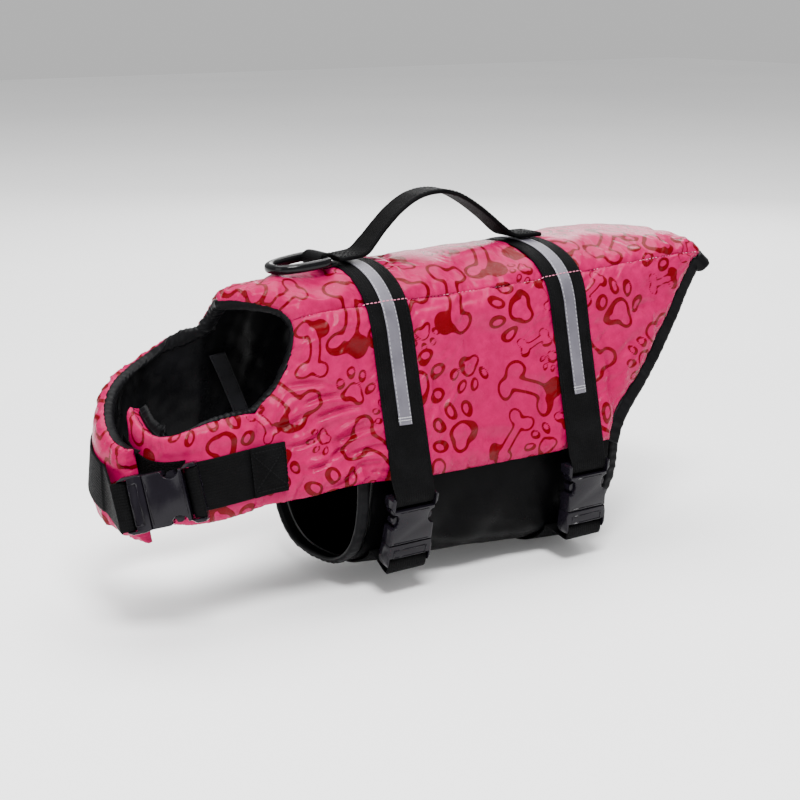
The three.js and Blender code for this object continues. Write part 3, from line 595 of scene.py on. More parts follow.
def satin_material(name, dark, rough_low, rough_high, gloss=0.055):
    sh = Shader(name)
    u, v = sh.uv()
    color = sh.mix(sh.cloud(40.0, 4.0, 0.3, 0.7), tone(dark, 1.12), tone(dark * 1.7, 2 / 1.7))
    twill = sh.wave(sh.math("ADD", u, v), 0.8)
    normal = sh.bump(sh.noise(60.0, 2.0), 0.1, 0.001, sh.bump(twill, 0.12, 0.0002))
    rough = sh.cloud(90.0, 3.0, 0.3, 0.7, rough_low, rough_high)
    return sh.finish(Base_Color=color, Roughness=rough, Normal=normal, Sheen_Weight=0.0,
                     Sheen_Roughness=0.4, Specular_IOR_Level=gloss)


def webbing_material(name, dark):
    sh = Shader(name)
    u, v = sh.uv()
    rib = sh.wave(u, 1.9)
    slant = sh.math("ADD", v, sh.math("MULTIPLY", sh.math("ABSOLUTE", rib), 0.8))
    pick = sh.wave(slant, 1.25)
    weave = sh.math("ADD", sh.math("MULTIPLY", rib, 0.8), sh.math("MULTIPLY", pick, 0.7))
    fuzz = sh.noise(900.0, 2.0)
    # The weave's raised ribs are painted lighter and its hollows darker, broken up by random fuzz: painted
    # highlight and painted shade that follow the weave.
    painted_weave_light = sh.math("MULTIPLY", sh.ramp(weave, -1.2, 1.4), sh.ramp(fuzz, 0.3, 0.75))
    base = sh.mix(painted_weave_light, tone(dark * 0.45, 0.5 / 0.45), tone(dark * 2.0, 1.1))
    worn = sh.math("MULTIPLY", sh.cloud(55.0, 5.0, 0.45, 0.8), 0.4)
    color = sh.mix(worn, base, tone(dark * 3.2, 3.5 / 3.2))
    normal = sh.bump(fuzz, 0.2, 0.0004, sh.bump(weave, 0.5, 0.00035))
    rough = sh.ramp(fuzz, 0.3, 0.7, 0.5, 0.72)
    return sh.finish(Base_Color=color, Roughness=rough, Normal=normal, Specular_IOR_Level=0.04)


def reflective_material():
    sh = Shader("reflective_tape_cloth")
    u, v = sh.uv()
    bead = sh.math("MULTIPLY", *(sh.wave(sh.math(way, u, v), 0.9) for way in ("ADD", "SUBTRACT")))
    cloudy = sh.noise(70.0, 4.0)
    color = sh.mix(sh.ramp(cloudy, 0.3, 0.75), (0.095, 0.09, 0.11, 1), (0.135, 0.128, 0.155, 1))
    scuffed = sh.mix(sh.cloud(330.0, 4.0, 0.62, 0.78), color, (0.07, 0.066, 0.082, 1))
    rough = sh.ramp(cloudy, 0.3, 0.7, 0.3, 0.45)
    return sh.finish(Base_Color=scuffed, Roughness=rough, Normal=sh.bump(bead, 0.25, 0.0002),
                     Metallic=0.35)


def plastic_material(name, color, rough_low, rough_high):
    sh = Shader(name)
    tinted = sh.mix(sh.cloud(55.0, 3.0, 0.3, 0.7), color + (1,), brighter(color, 1.35))
    scuffs = sh.ramp(sh.noise(240.0, 6.0, 0.65), 0.55, 0.8)
    worn = sh.mix(sh.math("MULTIPLY", scuffs, 0.25), tinted, brighter(color, 2.2))
    normal = sh.bump(sh.noise(900.0, 3.0), 0.12, 0.0003)
    rough = sh.ramp(scuffs, 0.0, 1.0, rough_low, rough_high)
    return sh.finish(Base_Color=worn, Roughness=rough, Normal=normal, Specular_IOR_Level=0.15)


def pile_material():
    sh = Shader("hook_pile")
    hooks = {"Vector": sh.place("Object"), "Scale": 900.0}
    dots = sh.node("ShaderNodeTexVoronoi", hooks).outputs["Distance"]
    color = sh.mix(sh.ramp(dots, 0.0, 0.6), (0.004, 0.004, 0.0045, 1), (0.001, 0.001, 0.001, 1))
    normal = sh.bump(sh.math("MULTIPLY", dots, -1.0), 0.8, 0.0008)
    rough = sh.cloud(300.0, 3.0, 0.3, 0.7, 0.8, 1.0)
    return sh.finish(Base_Color=color, Roughness=rough, Normal=normal, Specular_IOR_Level=0.04)


def thread_material(name, color):
    sh = Shader(name)
    strands = sh.noise(1500.0, 2.0)
    dyed = sh.mix(sh.ramp(strands, 0.3, 0.7), brighter(color, 0.75), color + (1,))
    rough = sh.ramp(strands, 0.3, 0.7, 0.45, 0.65)
    return sh.finish(Base_Color=dyed, Roughness=rough, Normal=sh.bump(strands, 0.3, 0.0002),
                     Specular_IOR_Level=0.06)


# Each look is a material and its slot
PRINT = (print_material(), "print_cloth")
SATIN = (satin_material("lining_satin", 0.002, 0.24, 0.36), "satin_lining")
RUCHED = (satin_material("binding_satin", 0.0025, 0.32, 0.45), "ruched_binding")
BELLY = (satin_material("belly_cloth", 0.0009, 0.26, 0.38, 0.028), "belly_cloth")
GREY_TAPE = (satin_material("grey_tape", 0.012, 0.5, 0.65), "grey_tape")
WEB = (webbing_material("black_webbing", 0.0022), "webbing")
REFLECT = (reflective_material(), "reflective")
PLASTIC = (plastic_material("buckle_plastic", (0.0040, 0.0033, 0.0052), 0.17, 0.28), "buckle_plastic")
RING_PLASTIC = (plastic_material("ring_plastic", (0.0025, 0.0025, 0.003), 0.16, 0.28), "ring_plastic")
PILE = (pile_material(), "hook_cloth")
PINK_THREAD = (thread_material("pink_thread", (0.7, 0.22, 0.33)), "print_cloth")
WHITE_THREAD = (thread_material("white_thread", (0.5, 0.5, 0.52)), "reflective")
BLACK_THREAD = (thread_material("black_thread", (0.0045, 0.0045, 0.005)), "webbing")


# Meshes
def link(name, mesh):
    obj = bpy.data.objects.new(name, mesh)
    bpy.context.scene.collection.objects.link(obj)
    return obj


def make_mesh(name, verts, faces):
    mesh = bpy.data.meshes.new(name)
    mesh.from_pydata((np.asarray(verts) * MM).tolist(), [], faces)
    mesh.update()
    return mesh


def make_object(name, verts, faces, look, node=None, body="jacket"):
    mesh = make_mesh(name, verts, faces)
    mesh.shade_smooth()
    obj = link(name, mesh)
    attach(obj, body)
    dress(obj, look, node)
    return obj


def dress(obj, look, node=None):
    material, slot = look
    obj.data.materials.clear()
    obj.data.materials.append(material)
    if node:
        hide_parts(node)


def set_uv(obj, uv):
    layer = obj.data.uv_layers.new(name="UVMap")
    index = np.empty(len(obj.data.loops), int)
    obj.data.loops.foreach_get("vertex_index", index)
    layer.data.foreach_set("uv", np.asarray(uv)[index].ravel())


# Step to the neighbour over each edge of a cell, and the edge's two corners
CELL_EDGES = (
    (-1, 0, (0, 1), (0, 0)), (1, 0, (1, 0), (1, 1)), (0, -1, (0, 0), (1, 0)), (0, 1, (1, 1), (0, 1)),
)


def grid_object(name, node, look, cloth, mask, lifts, low=None, ink=None):
    """A patch of the cloth net at the given lifts, its free edges closed down to low."""
    used, index, faces = cloth.patch(mask)
    verts = [cloth.p[used] + cloth.n[used] * (lifts[used] - SURFACE)[:, None]]
    source = np.flatnonzero(used.ravel()).tolist()
    if low is not None:
        padded = np.pad(mask, 1)
        below = {}
        for dc, dr, a, b in CELL_EDGES:
            bare = mask & ~padded[1 + dc:1 + dc + mask.shape[0], 1 + dr:1 + dr + mask.shape[1]]
            for c, r in zip(*np.nonzero(bare)):
                ends = [(c + a[0], r + a[1]), (c + b[0], r + b[1])]
                for end in ends:
                    if end not in below:
                        below[end] = len(source)
                        source.append(end[0] * len(cloth.r) + end[1])
                        verts.append((cloth.p[end] + cloth.n[end] * (low - SURFACE))[None])
                faces.append([index[ends[0]], below[ends[0]], below[ends[1]], index[ends[1]]])
    obj = make_object(name, np.concatenate(verts), faces, look, node)
    set_uv(obj, np.stack([cloth.u.ravel()[source], cloth.v.ravel()[source]], 1))
    if ink is not None:
        layer = obj.data.attributes.new("ink", "FLOAT", "POINT")
        layer.data.foreach_set("value", ink.ravel()[source])
    return obj


def resample(points, spacing):
    """Smooth closer points along a list of arrays that share their first index."""
    count = len(points[0])
    s = running(points[0])
    at = np.linspace(0, s[-1], max(int(s[-1] / spacing), 4) + 1)
    matrix = spline_matrix(np.interp(at, s, np.arange(count)), count)
    return [matrix @ p for p in points], at


def tube_faces(rings, count, closed=False):
    """Faces of rings of count points each, capped or closed to a loop."""
    faces = []
    for i in range(rings if closed else rings - 1):
        near, far = i * count, (i + 1) % rings * count
        for j in range(count):
            k = (j + 1) % count
            faces.append((near + j, near + k, far + k, far + j))
    if not closed:
        faces.append(tuple(range(count - 1, -1, -1)))
        faces.append(tuple((rings - 1) * count + j for j in range(count)))
    return faces


def ribbon(name, node, look, edges, thick, across, spacing, relief=None, round_edge=None):
    """A strip on rungs: its two lower edges, and the way in which it is thick."""
    left, right, out = edges
    (_, left, right, out), s = resample([(left + right) / 2, left, right, out], spacing)
    out = unit(out)
    wide = np.linalg.norm(right - left, axis=1)
    r = (round_edge or thick / 2) / wide.mean()
    turns = np.linspace(-math.pi / 2, math.pi / 2, 5)[1:-1]
    ring = [(u, 0.0) for u in np.linspace(r, 1 - r, across)]
    ring += [(1 - r + r * math.cos(t), 0.5 + 0.5 * math.sin(t)) for t in turns]
    ring += [(u, 1.0) for u in np.linspace(1 - r, r, across)]
    ring += [(r - r * math.cos(t), 0.5 - 0.5 * math.sin(t)) for t in turns]
    u, h = np.array(ring).T
    height = np.broadcast_to(h * thick, (len(s), len(ring))).copy()
    if relief:
        height += relief(*np.broadcast_arrays(s[:, None], u)) * np.clip(2 * h - 0.6, 0, 1)
    points = left[:, None] + (right - left)[:, None] * u[:, None] + out[:, None] * height[..., None]
    obj = make_object(name, points.reshape(-1, 3), tube_faces(*points.shape[:2]), look, node)
    set_uv(obj, np.stack(np.broadcast_arrays(u * wide.mean(), s[:, None]), -1).reshape(-1, 2))
    return obj


class Stitches:
    """Rows of small raised stitches, gathered into one mesh for each thread."""

    def __init__(self):
        self.verts, self.faces = [], []

    def line(self, points, normals, pitch=3.0, length=2.1, radius=0.3, wobble=0.0):
        points, normals = np.asarray(points, float), np.asarray(normals, float)
        s = running(points)
        rng = np.random.default_rng(len(self.verts) + 5)
        for t in np.arange(pitch / 2, s[-1] - length / 2, pitch):
            t += rng.uniform(-wobble, wobble)
            a, b = (follow(points, s, q) for q in (t - length / 2, t + length / 2))
            self.add(a, b, unit(follow(normals, s, t)), radius)

    def box(self, corners, normal, pitch, length, radius):
        """A sewn box with its two diagonals."""
        a, b, c, d = corners
        for p, q in ((a, b), (b, c), (c, d), (d, a), (a, c), (b, d)):
            self.line([p, q], [normal, normal], pitch, length, radius)

    def add(self, a, b, n, radius):
        side = unit(np.cross(unit(b - a), n))
        base = len(self.verts)
        self.verts.append(a - 0.2 * radius * n)
        for t in (0.18, 0.82):
            middle = a + (b - a) * t + 0.35 * radius * n
            for k in range(6):
                turn = k * math.pi / 3
                self.verts.append(middle + radius * (math.cos(turn) * side + 0.8 * math.sin(turn) * n))
        self.verts.append(b - 0.2 * radius * n)
        for k in range(6):
            j = (k + 1) % 6
            self.faces.append((base, base + 1 + j, base + 1 + k))
            self.faces.append((base + 1 + k, base + 1 + j, base + 7 + j, base + 7 + k))
            self.faces.append((base + 13, base + 7 + k, base + 7 + j))

    def build(self, name, look):
        obj = make_object(name, self.verts, self.faces, look)
        set_uv(obj, np.asarray(self.verts)[:, [0, 2]])


pink = Stitches()
white = Stitches()
black = Stitches()

# Printed panels

# Sewn crease in front of the front strap: x, z, depth
CREASES = [(-146, -66, 1.4), (-131, -82, 3), (-117, -101, 3.8), (-103, -117, 3.4), (-92, -128, 2.4)]
# Folds of the sides: x and z of both ends, width, depth
SIDE_FOLDS = [
    (-152, -58, -118, -60, 2.6, -1.3), (-143, -70, -110, -67, 2.2, -1.1),
    (-134, -80, -98, -76, 2.6, -1.5), (-128, -88, -158, -97, 2.6, -1.4),
    (-121, -97, -86, -90, 2.4, -1.3), (-117, -101, -148, -113, 2.6, -1.5),
    (-112, -106, -83, -104, 2.2, -1.2), (-106, -114, -136, -126, 2.4, -1.3),
    (-100, -119, -84, -121, 2.0, -1.0), (-139, -76, -168, -84, 2.4, -1.0),
    (-124, -93, -96, -83, 2.2, 1.1), (-114, -104, -140, -107, 2.4, 1.1),
    (-109, -110, -85, -112, 2.2, 1.0), (-98, -122, -118, -129, 2.0, -1.0),
    (-50, -30, -40, -112, 7.0, -0.8), (10, -20, 20, -120, 9.0, -0.7),
    (48, -34, 44, -118, 6.0, -0.8), (100, -30, 108, -112, 6.0, -0.9),
    (130, -40, 168, -30, 5.0, -0.8), (-100, -30, -96, -95, 5.0, -0.8),
    (-30, -100, 40, -112, 6.0, 0.7), (112, -70, 150, -52, 4.0, -0.7),
]
FOLD_WIDTH = 0.8
FOLD_DEPTH = 2.3

# A panel's thickness where it ends and at the crown seams, and the runs to its full thickness
EDGE_THICK = 2.4
SEAM_THICK = 6.6
EDGE_RUN = 13
SEAM_RUN = 11
LEAST_THICK = 2.0
# Lift over the lining at which a panel's free edges are closed
PANEL_FOOT = 0.4

# Cloth simulation: frames, slack as a share, pressure, limit of the lift
SLACK_FRAMES = 24
SLACK_EXCESS = 0.025
SLACK_PRESSURE = 0.12
SLACK_LIMIT = 2.3
# The simulation holds cloth near edges and seams, under the neck webbing and where bands overlap
HELD_EDGE = 3.5
HELD_SEAM = 2.5
WEBBING_ROWS = ((-13.7, -10.2), (7.7, 13.1))
WEBBING_COLUMN = 2.2
OVERLAP_COLUMN = -9


def crown_parts(row):
    down = abs(row)
    if down < 1:
        return 26
    if down < 2:
        return 13
    return 12 if down < 4 else 11


cloth = Cloth(lambda c: 12 if c > 0 else 9, crown_parts)
edge_near = Nearest(cloth.edges())
seam_near = Nearest([cloth.p[cloth.column(0):, cloth.row(r)] for r in (-SEAM_ROW, SEAM_ROW)])


def crease_depth(x, z):
    depth = np.zeros_like(x)
    for (x1, z1, d1), (x2, z2, d2) in zip(CREASES[:-1], CREASES[1:]):
        run = np.array([x2 - x1, z2 - z1], float)
        t = np.clip(((x - x1) * run[0] + (z - z1) * run[1]) / (run @ run), 0, 1)
        away = np.hypot(x - x1 - t * run[0], z - z1 - t * run[1]) / 6.5
        depth = np.maximum(depth, (d1 + (d2 - d1) * t) * np.exp(-away * away))
    return depth


def strap_press(x):
    """How far the straps pull the cloth down, with a bulge beside them."""
    press = np.zeros_like(x)
    for at in (FRONT_STRAP, REAR_STRAP):
        d = np.abs(x - at) - HALF
        press += 1 - smoothstep(-2.5, 4, d)
        press -= 0.55 * np.exp(-((d - 9) / 5) ** 2)
    return press


def held_points(points, column, row):
    """Where seams, edges, straps and the bands' overlap hold the cloth."""
    held = (edge_near(points)[0] < HELD_EDGE) | (seam_near(points)[0] < HELD_SEAM)
    held |= column < OVERLAP_COLUMN
    for low, high in WEBBING_ROWS:
        held |= (column < WEBBING_COLUMN) & (row > low) & (row < high)
    for at in (FRONT_STRAP, REAR_STRAP):
        held |= (column >= 0) & (np.abs(points[:, 0] - at) < HALF)
    return np.flatnonzero(held).tolist()


def settle():
    """Slack of the cloth between its seams and straps, from a short cloth simulation."""
    net = Cloth(lambda c: 4, lambda r: 3)
    used, _, faces = net.patch(net.cells(SHELL_BLOCKS))
    points = net.p[used]
    mesh = make_mesh("slack", points, faces)
    obj = link("slack", mesh)
    columns, rows = (grid[used] for grid in np.meshgrid(net.c, net.r, indexing="ij"))
    obj.vertex_groups.new(name="pins").add(held_points(points, columns, rows), 1.0, "REPLACE")

    simulated = obj.modifiers.new("slack", "CLOTH")
    simulated.point_cache.frame_end = SLACK_FRAMES
    simulated.collision_settings.use_collision = False
    settings = simulated.settings
    settings.quality = 6
    settings.mass = 0.05
    settings.air_damping = 2
    settings.tension_stiffness = settings.compression_stiffness = 25
    settings.shear_stiffness = 12
    settings.bending_stiffness = 0.01
    settings.vertex_group_mass = "pins"
    settings.shrink_min = settings.shrink_max = -SLACK_EXCESS
    settings.use_pressure = True
    settings.uniform_pressure_force = SLACK_PRESSURE
    settings.effector_weights.gravity = 0
    scene = bpy.context.scene
    for at in range(1, SLACK_FRAMES + 1):
        scene.frame_set(at)
    after = obj.evaluated_get(bpy.context.evaluated_depsgraph_get())
    moved = np.empty(len(points) * 3)
    after.data.vertices.foreach_get("co", moved)
    scene.frame_set(1)
    bpy.data.objects.remove(obj)
    bpy.data.meshes.remove(mesh)

    lift = np.zeros(used.shape)
    lift[used] = np.sum((moved.reshape(-1, 3) / MM - points) * net.n[used], axis=1)
    lift = SLACK_LIMIT * np.tanh(lift / SLACK_LIMIT)
    a = spline_matrix(np.interp(cloth.c, net.c, np.arange(len(net.c))), len(net.c))
    b = spline_matrix(np.interp(cloth.r, net.r, np.arange(len(net.r))), len(net.r))
    return a @ lift @ b.T


SLACK = settle()


def round_up(d, run, low):
    """Thickness that rounds up to the full pad over a run."""
    t = np.minimum(d / run, 1)
    return low + (PAD - low) * np.sqrt(1 - (1 - t) ** 2)


def panel(name, node, blocks, seed):
    mask = cloth.cells(blocks)
    near, _, _ = cloth.patch(mask)
    where = cloth.p[near]
    d_edge, s_edge = edge_near(where)
    d_seam, s_seam = seam_near(where)
    x, z = where[:, 0], where[:, 2]
    u, v = cloth.u[near], cloth.v[near]
    at_edge, at_seam = round_up(d_edge, EDGE_RUN, EDGE_THICK), round_up(d_seam, SEAM_RUN, SEAM_THICK)
    height = np.minimum(at_edge, at_seam)
    height += SLACK[near] - strap_press(x)
    gathered = 1 - 0.7 * smoothstep(40, 120, x)
    height += gathered * puckers(s_edge, d_edge, seed, edge_near.length, 7.0, 1.7, 10, 2.1)
    height += puckers(s_seam, d_seam, seed + 1, seam_near.length, 8.5, 0.9, 8, 2.5)
    height += waves(u, v, seed + 2, 38, 80, 0.6) + waves(u, v, seed + 3, 16, 30, 0.18)
    if name != "crown_cloth":
        column = np.broadcast_to(cloth.c[:, None], near.shape)[near]
        body = smoothstep(-4, 1, column)
        height -= crease_depth(x, z) * body
        for *ends, width, depth in SIDE_FOLDS:
            height += FOLD_DEPTH * stroke(x, z, *ends, FOLD_WIDTH * width, depth) * body
    lifts = np.full(near.shape, SURFACE)
    lifts[near] = LINING + GAP + np.maximum(height, LEAST_THICK)
    ink = np.full(near.shape, BARE)
    ink[near] = print_ink(u, v)
    obj = grid_object(name, node, PRINT, cloth, mask, lifts, PANEL_FOOT, ink)


panel("crown_cloth", "back_panel", CROWN_BLOCKS, 11)
panel("left_side_cloth", "side_panel_left", LEFT_BLOCKS, 21)
panel("right_side_cloth", "side_panel_right", RIGHT_BLOCKS, 31)


# Satin lining, with soft slack folds on its inner face
def lining():
    net = Cloth(lambda c: 4, lambda r: 9 if abs(r) < 1 else 5)
    near = Nearest(net.edges(), 3)
    d, s = near(net.p)
    fold = waves(net.u, net.v * 0.4, 51, 22, 48, 1.0) + waves(net.u, net.v, 52, 12, 24, 0.3)
    fold += puckers(s, d, 53, near.length, 9, 0.7, 10, 3)
    lifts = 0.2 + np.minimum(fold * np.minimum(d / 14, 1), 1.1)
    obj = grid_object("satin_lining", "lining", SATIN, net, net.cells(SHELL_BLOCKS), lifts)
    areas = np.empty(len(obj.data.polygons))
    obj.data.polygons.foreach_get("area", areas)


lining()

# Gathered bindings

# The neck binding's folded section: along the lining, and out
NECK_FOLD = np.array([
    (9, -0.4), (7, -1.5), (4.5, -1.9), (2, -1.9), (0.2, -1.6), (-1.2, -0.8), (-1.7, 0.6),
    (-1.7, 2.2), (-1.2, 3.6), (-0.2, 4.2), (0.8, 4.3), (0.6, 3.2), (-0.3, 2.0), (0.2, 0.1), (4, -0.2),
], float)
NECK_FOLD_MIDDLE = np.array([2.5, 1.5])
NECK_CUT = 22
TAIL_WIDTH = 12
TAIL_THICK = 3.6
TAIL_DIP = 1.1
TAPE_REACH = 6.5


def neck_binding():
    """The neck edge as column, row and the way inward, with a gathered fold run along it."""
    path = [(c, -LEFT_FIRST, 0, -1) for c in np.linspace(-LEFT_REACH, -0.4, 40)]
    path += [(0, -8.8, 1, -0.6), (0, -8.3, 1, -0.2)]
    path += [(0, r, 1, 0) for r in np.linspace(-7.8, 3.9, 44)]
    path += [(0, 4.4, 1, 0.2), (0, 4.8, 1, 0.6)]
    path += [(c, RIGHT_FIRST, 0, 1) for c in np.linspace(-0.4, -RIGHT_REACH, 46)]
    column, row, in_column, in_row = np.array(path, float).T
    edge, n = net_point(column, row, 0.0)
    probe, _ = net_point(column + 0.3 * in_column, row + 0.3 * in_row, 0.0)
    (edge, inward, n), s = resample([edge, unit(probe - edge), n], 0.9)
    count = len(NECK_FOLD)
    sg, ug = np.broadcast_arrays(s[:, None], np.arange(count) / count)
    size = gathers(61, 640, 3.6, 0.9, 1.2)(sg, ug)
    shape = NECK_FOLD + unit(NECK_FOLD - NECK_FOLD_MIDDLE) * size[..., None]
    points = edge[:, None] + inward[:, None] * shape[..., :1] + n[:, None] * shape[..., 1:]
    faces = tube_faces(len(s), count)
    obj = make_object("neck_gathers", points.reshape(-1, 3), faces, RUCHED, "neck_binding")
    set_uv(obj, np.stack([ug * NECK_CUT, sg], -1).reshape(-1, 2))


def eased(vectors, width=7):
    """Directions softened along a row of points, so that corners fan out."""
    kernel = np.hanning(width + 2)[1:-1]
    kernel /= kernel.sum()
    padded = np.pad(vectors, ((width // 2, width // 2), (0, 0)), mode="edge")
    return unit(np.stack([np.convolve(padded[:, k], kernel, "valid") for k in range(3)], 1))


def rear_binding():
    """The tail binding, which turns down over the crown's end."""
    rows = np.linspace(-HEM_ROW, HEM_ROW, 140)
    edge, n = net_point(COLUMNS, rows, 1.0)
    back, _ = net_point(COLUMNS - 0.2, rows, 1.0)
    along = np.gradient(edge, axis=0)
    share = np.sum((edge - back) * along, 1) / np.sum(along * along, 1)
    away = unit(edge - back - along * share[:, None])
    dip = TAIL_DIP * (1 - smoothstep(SEAM_ROW - 3.5, SEAM_ROW + 1, np.abs(rows)))[:, None]
    run = eased(away * np.cos(dip) - n * np.sin(dip))
    out = eased(n * np.cos(dip) + away * np.sin(dip))
    start = edge + run * 0.2
    edges = (start, start + run * TAIL_WIDTH, out)
    ribbon("tail_binding", "rear_binding", RUCHED, edges, TAIL_THICK, 10, 1.1,
           gathers(62, 700, 6.5, 0.8), TAIL_THICK / 2)


def seam_tape(node, side, x1, r1, x2, r2, lift=-0.7):
    t = np.linspace(0, 1, 24)
    x, row = x1 + (x2 - x1) * t, side * (r1 + (r2 - r1) * t)
    n = -skin_normal(x, row)
    edges = (skin(x - TAPE_REACH, row, lift), skin(x + TAPE_REACH, row, lift), n)
    ribbon(node + "_grosgrain", node, GREY_TAPE, edges, 0.8, 8, 1.4, gathers(63, 90, 9, 0.35))
    for dx in (-5, 5):
        black.line(skin(x + dx, row, lift - 0.9), n, 2.8, 2.0, 0.25)


neck_binding()
rear_binding()
seam_tape("seam_tape_left", -1, -147, 9.2, -112, 12.3)
seam_tape("seam_tape_right", 1, -160, 6.8, -127, 12.2)

# Belly panel
BELLY_ROWS = 12
TUCK_ROWS = 2
FREE_ROWS = BELLY_ROWS - TUCK_ROWS
BELLY_FRONT = -94
BELLY_REAR = 98
BELLY_XS = (BELLY_FRONT, 0, BELLY_REAR)
BELLY_COLUMNS = 110
BELLY_NET_COLUMNS = 13
BELLY_BOTTOM = (-198, -205, -210)
BELLY_SQUARENESS = (2.6, 2.8, 3.2)
# The panel's faces from its smooth middle face, out and in
BELLY_OUT = -0.6
BELLY_IN = -4.5
# Folds of the belly panel: x and arc of both ends, width, depth
BELLY_FOLDS = [
    (-88, -120, -30, -72, 6, 1.6), (-60, -70, 70, -62, 7, 1.4),
    (-88, 118, -20, 75, 6, 1.6), (60, 110, 100, 70, 6, 1.2),
]


def belly_outer(x, row):
    """The sling between the hems, its edges tucked up under them."""
    x, row = np.broadcast_arrays(np.asarray(x, float), np.asarray(row, float))
    side = np.where(row < 0, -1.0, 1.0)
    up = np.abs(row) - FREE_ROWS
    tucked = skin(x, side * (HEM_ROW - np.maximum(up, 0)), -0.8)
    top = skin(x, side * HEM_ROW, -0.8)
    bottom = np.interp(x, BELLY_XS, BELLY_BOTTOM)
    power = 2 / np.interp(x, BELLY_XS, BELLY_SQUARENESS)
    turn = np.minimum(np.abs(row) / FREE_ROWS, 1) * math.pi / 2
    y = top[..., 1] * np.sin(turn) ** power
    z = top[..., 2] + (bottom - top[..., 2]) * np.maximum(np.cos(turn), 0) ** power
    return np.where((up >= 0)[..., None], tucked, np.stack([x, y, z], -1))


def belly_normal(x, row):
    a = belly_outer(x, np.maximum(row - 0.05, -BELLY_ROWS))
    b = belly_outer(x, np.minimum(row + 0.05, BELLY_ROWS))
    return unit(np.cross(b - a, belly_outer(x + 1, row) - belly_outer(x - 1, row)))


def belly(x, row, lift):
    return belly_outer(x, row) + belly_normal(x, row) * lift


def belly_x(share, row):
    raised = smoothstep(BELLY_ROWS / 2, FREE_ROWS, np.abs(row))
    return BELLY_FRONT + (BELLY_REAR + 12 * raised - BELLY_FRONT) * share


def slab_faces(columns, rows):
    """Faces of two grids of points, one over the other, and of the rim between them."""
    under = rows * columns
    faces = []
    for i in range(columns - 1):
        for j in range(rows - 1):
            k = i * rows + j
            faces.append((k, k + 1, k + rows + 1, k + rows))
            faces.append((under + k, under + k + rows, under + k + rows + 1, under + k + 1))
    rim = [(i * rows + j, rows) for i in range(columns - 1) for j in (0, rows - 1)]
    rim += [(i * rows + j, 1) for j in range(rows - 1) for i in (0, columns - 1)]
    faces += [(k, k + step, under + k + step, under + k) for k, step in rim]
    return faces


def belly_panel():
    net_rows = np.arange(-BELLY_ROWS, BELLY_ROWS + 1)
    rows = fine(net_rows.tolist(), lambda r: 14 if abs(r) < 1 else 6)
    net_share = np.linspace(0, 1, BELLY_NET_COLUMNS)
    net = belly_outer(belly_x(net_share[:, None], net_rows), net_rows)
    a = spline_matrix(np.linspace(0, 1, BELLY_COLUMNS) * (BELLY_NET_COLUMNS - 1), BELLY_NET_COLUMNS)
    b = spline_matrix(rows + BELLY_ROWS, len(net_rows))
    p = np.einsum("ci,ijk,rj->crk", a, net, b)
    n = -unit(np.cross(np.gradient(p, axis=0), np.gradient(p, axis=1)))
    steps = np.cumsum(np.linalg.norm(np.diff(p, axis=1), axis=-1), axis=1)
    arc = np.concatenate([np.zeros((BELLY_COLUMNS, 1)), steps], 1)
    arc -= arc[:, [len(rows) // 2]]
    x = p[..., 0]
    up = np.abs(rows)
    fold = waves(x, arc * 0.5, 71, 26, 60, 0.9) + waves(x, arc, 72, 12, 26, 0.25)
    for at in (FRONT_STRAP, REAR_STRAP):
        fold -= 0.8 * np.exp(-((x - at) / 17) ** 4)
    for line in BELLY_FOLDS:
        fold += stroke(x, arc, *line)
    fade = (1 - smoothstep(FREE_ROWS - 1.5, FREE_ROWS - 0.3, up)) * smoothstep(0, 8, x - BELLY_FRONT)
    fade = fade * smoothstep(0, 8, BELLY_REAR + 2 - x + 10 * (up > 8))
    high = p + n * (fold * fade * 0.8 + BELLY_OUT)[..., None]
    low = p + n * BELLY_IN
    verts = np.concatenate([high.reshape(-1, 3), low.reshape(-1, 3)])
    faces = slab_faces(BELLY_COLUMNS, len(rows))
    obj = make_object("belly_sling", verts, faces, BELLY, "belly_panel")
    uv = np.stack([x.ravel(), arc.ravel()], 1)
    set_uv(obj, np.concatenate([uv, uv]))


def belly_binding(node, share, way, seed, lift=-4.4):
    rows = np.linspace(-BELLY_ROWS + 0.05, BELLY_ROWS - 0.05, 25)
    x = belly_x(share, rows)
    edges = (belly(x + way * 0.3, rows, lift), belly(x + way * 9, rows, lift), belly_normal(x, rows))
    ribbon(node + "_gathers", node, RUCHED, edges, 4.2, 8, 1.3, gathers(seed, 460, 5.5, 0.8), 2.0)


belly_panel()
belly_binding("belly_binding_front", 0, -1, 73)
belly_binding("belly_binding_rear", 1, 1, 74)

# Buckles

# The webbing's way through a moulding: along it, and out
SOCKET_TURN = [(-7.2, -7.6), (-6.5, -4.6), (-5.1, -3), (0.6, -3)]
PLUG_TURN = [(-54 - y, z) for y, z in SOCKET_TURN] + [(-56, -5.5)]
# Raised bars on a buckle's face: middle x and y, half-length, half-width, height
BARS = [
    (0, -39.2, 13.5, 0.5, 0.55), (0, -44.6, 13.5, 0.5, 0.55),
    (-13.2, -41.9, 0.5, 3.0, 0.55), (13.2, -41.9, 0.5, 3.0, 0.55),
    (0, -33.6, 14.5, 0.45, 0.35), (0, -10.6, 12.0, 0.4, 0.35),
]
BUCKLE_ROUND = 0.45


def buckle_frame(top, up, outward):
    y = unit(np.asarray(up, float))
    z = np.asarray(outward, float)
    z = unit(z - y * (z @ y))
    return np.asarray(top, float), np.stack([np.cross(y, z), y, z])


def place(spot, points):
    at, basis = spot
    return at + np.asarray(points, float) @ basis


def buckle_rungs(spot, turn):
    turn = np.array(turn, float)
    before = turn[np.maximum(np.arange(len(turn)) - 1, 0)]
    after = turn[np.minimum(np.arange(len(turn)) + 1, len(turn) - 1)]
    run = after[:, 0] - before[:, 0]
    out = np.stack([np.zeros(len(turn)), before[:, 1] - after[:, 1], run], 1) * np.sign(run)[:, None]
    a, b = (place(spot, [(half, y, z) for y, z in turn]) for half in (-HALF, HALF))
    return a, b, unit(out) @ spot[1]


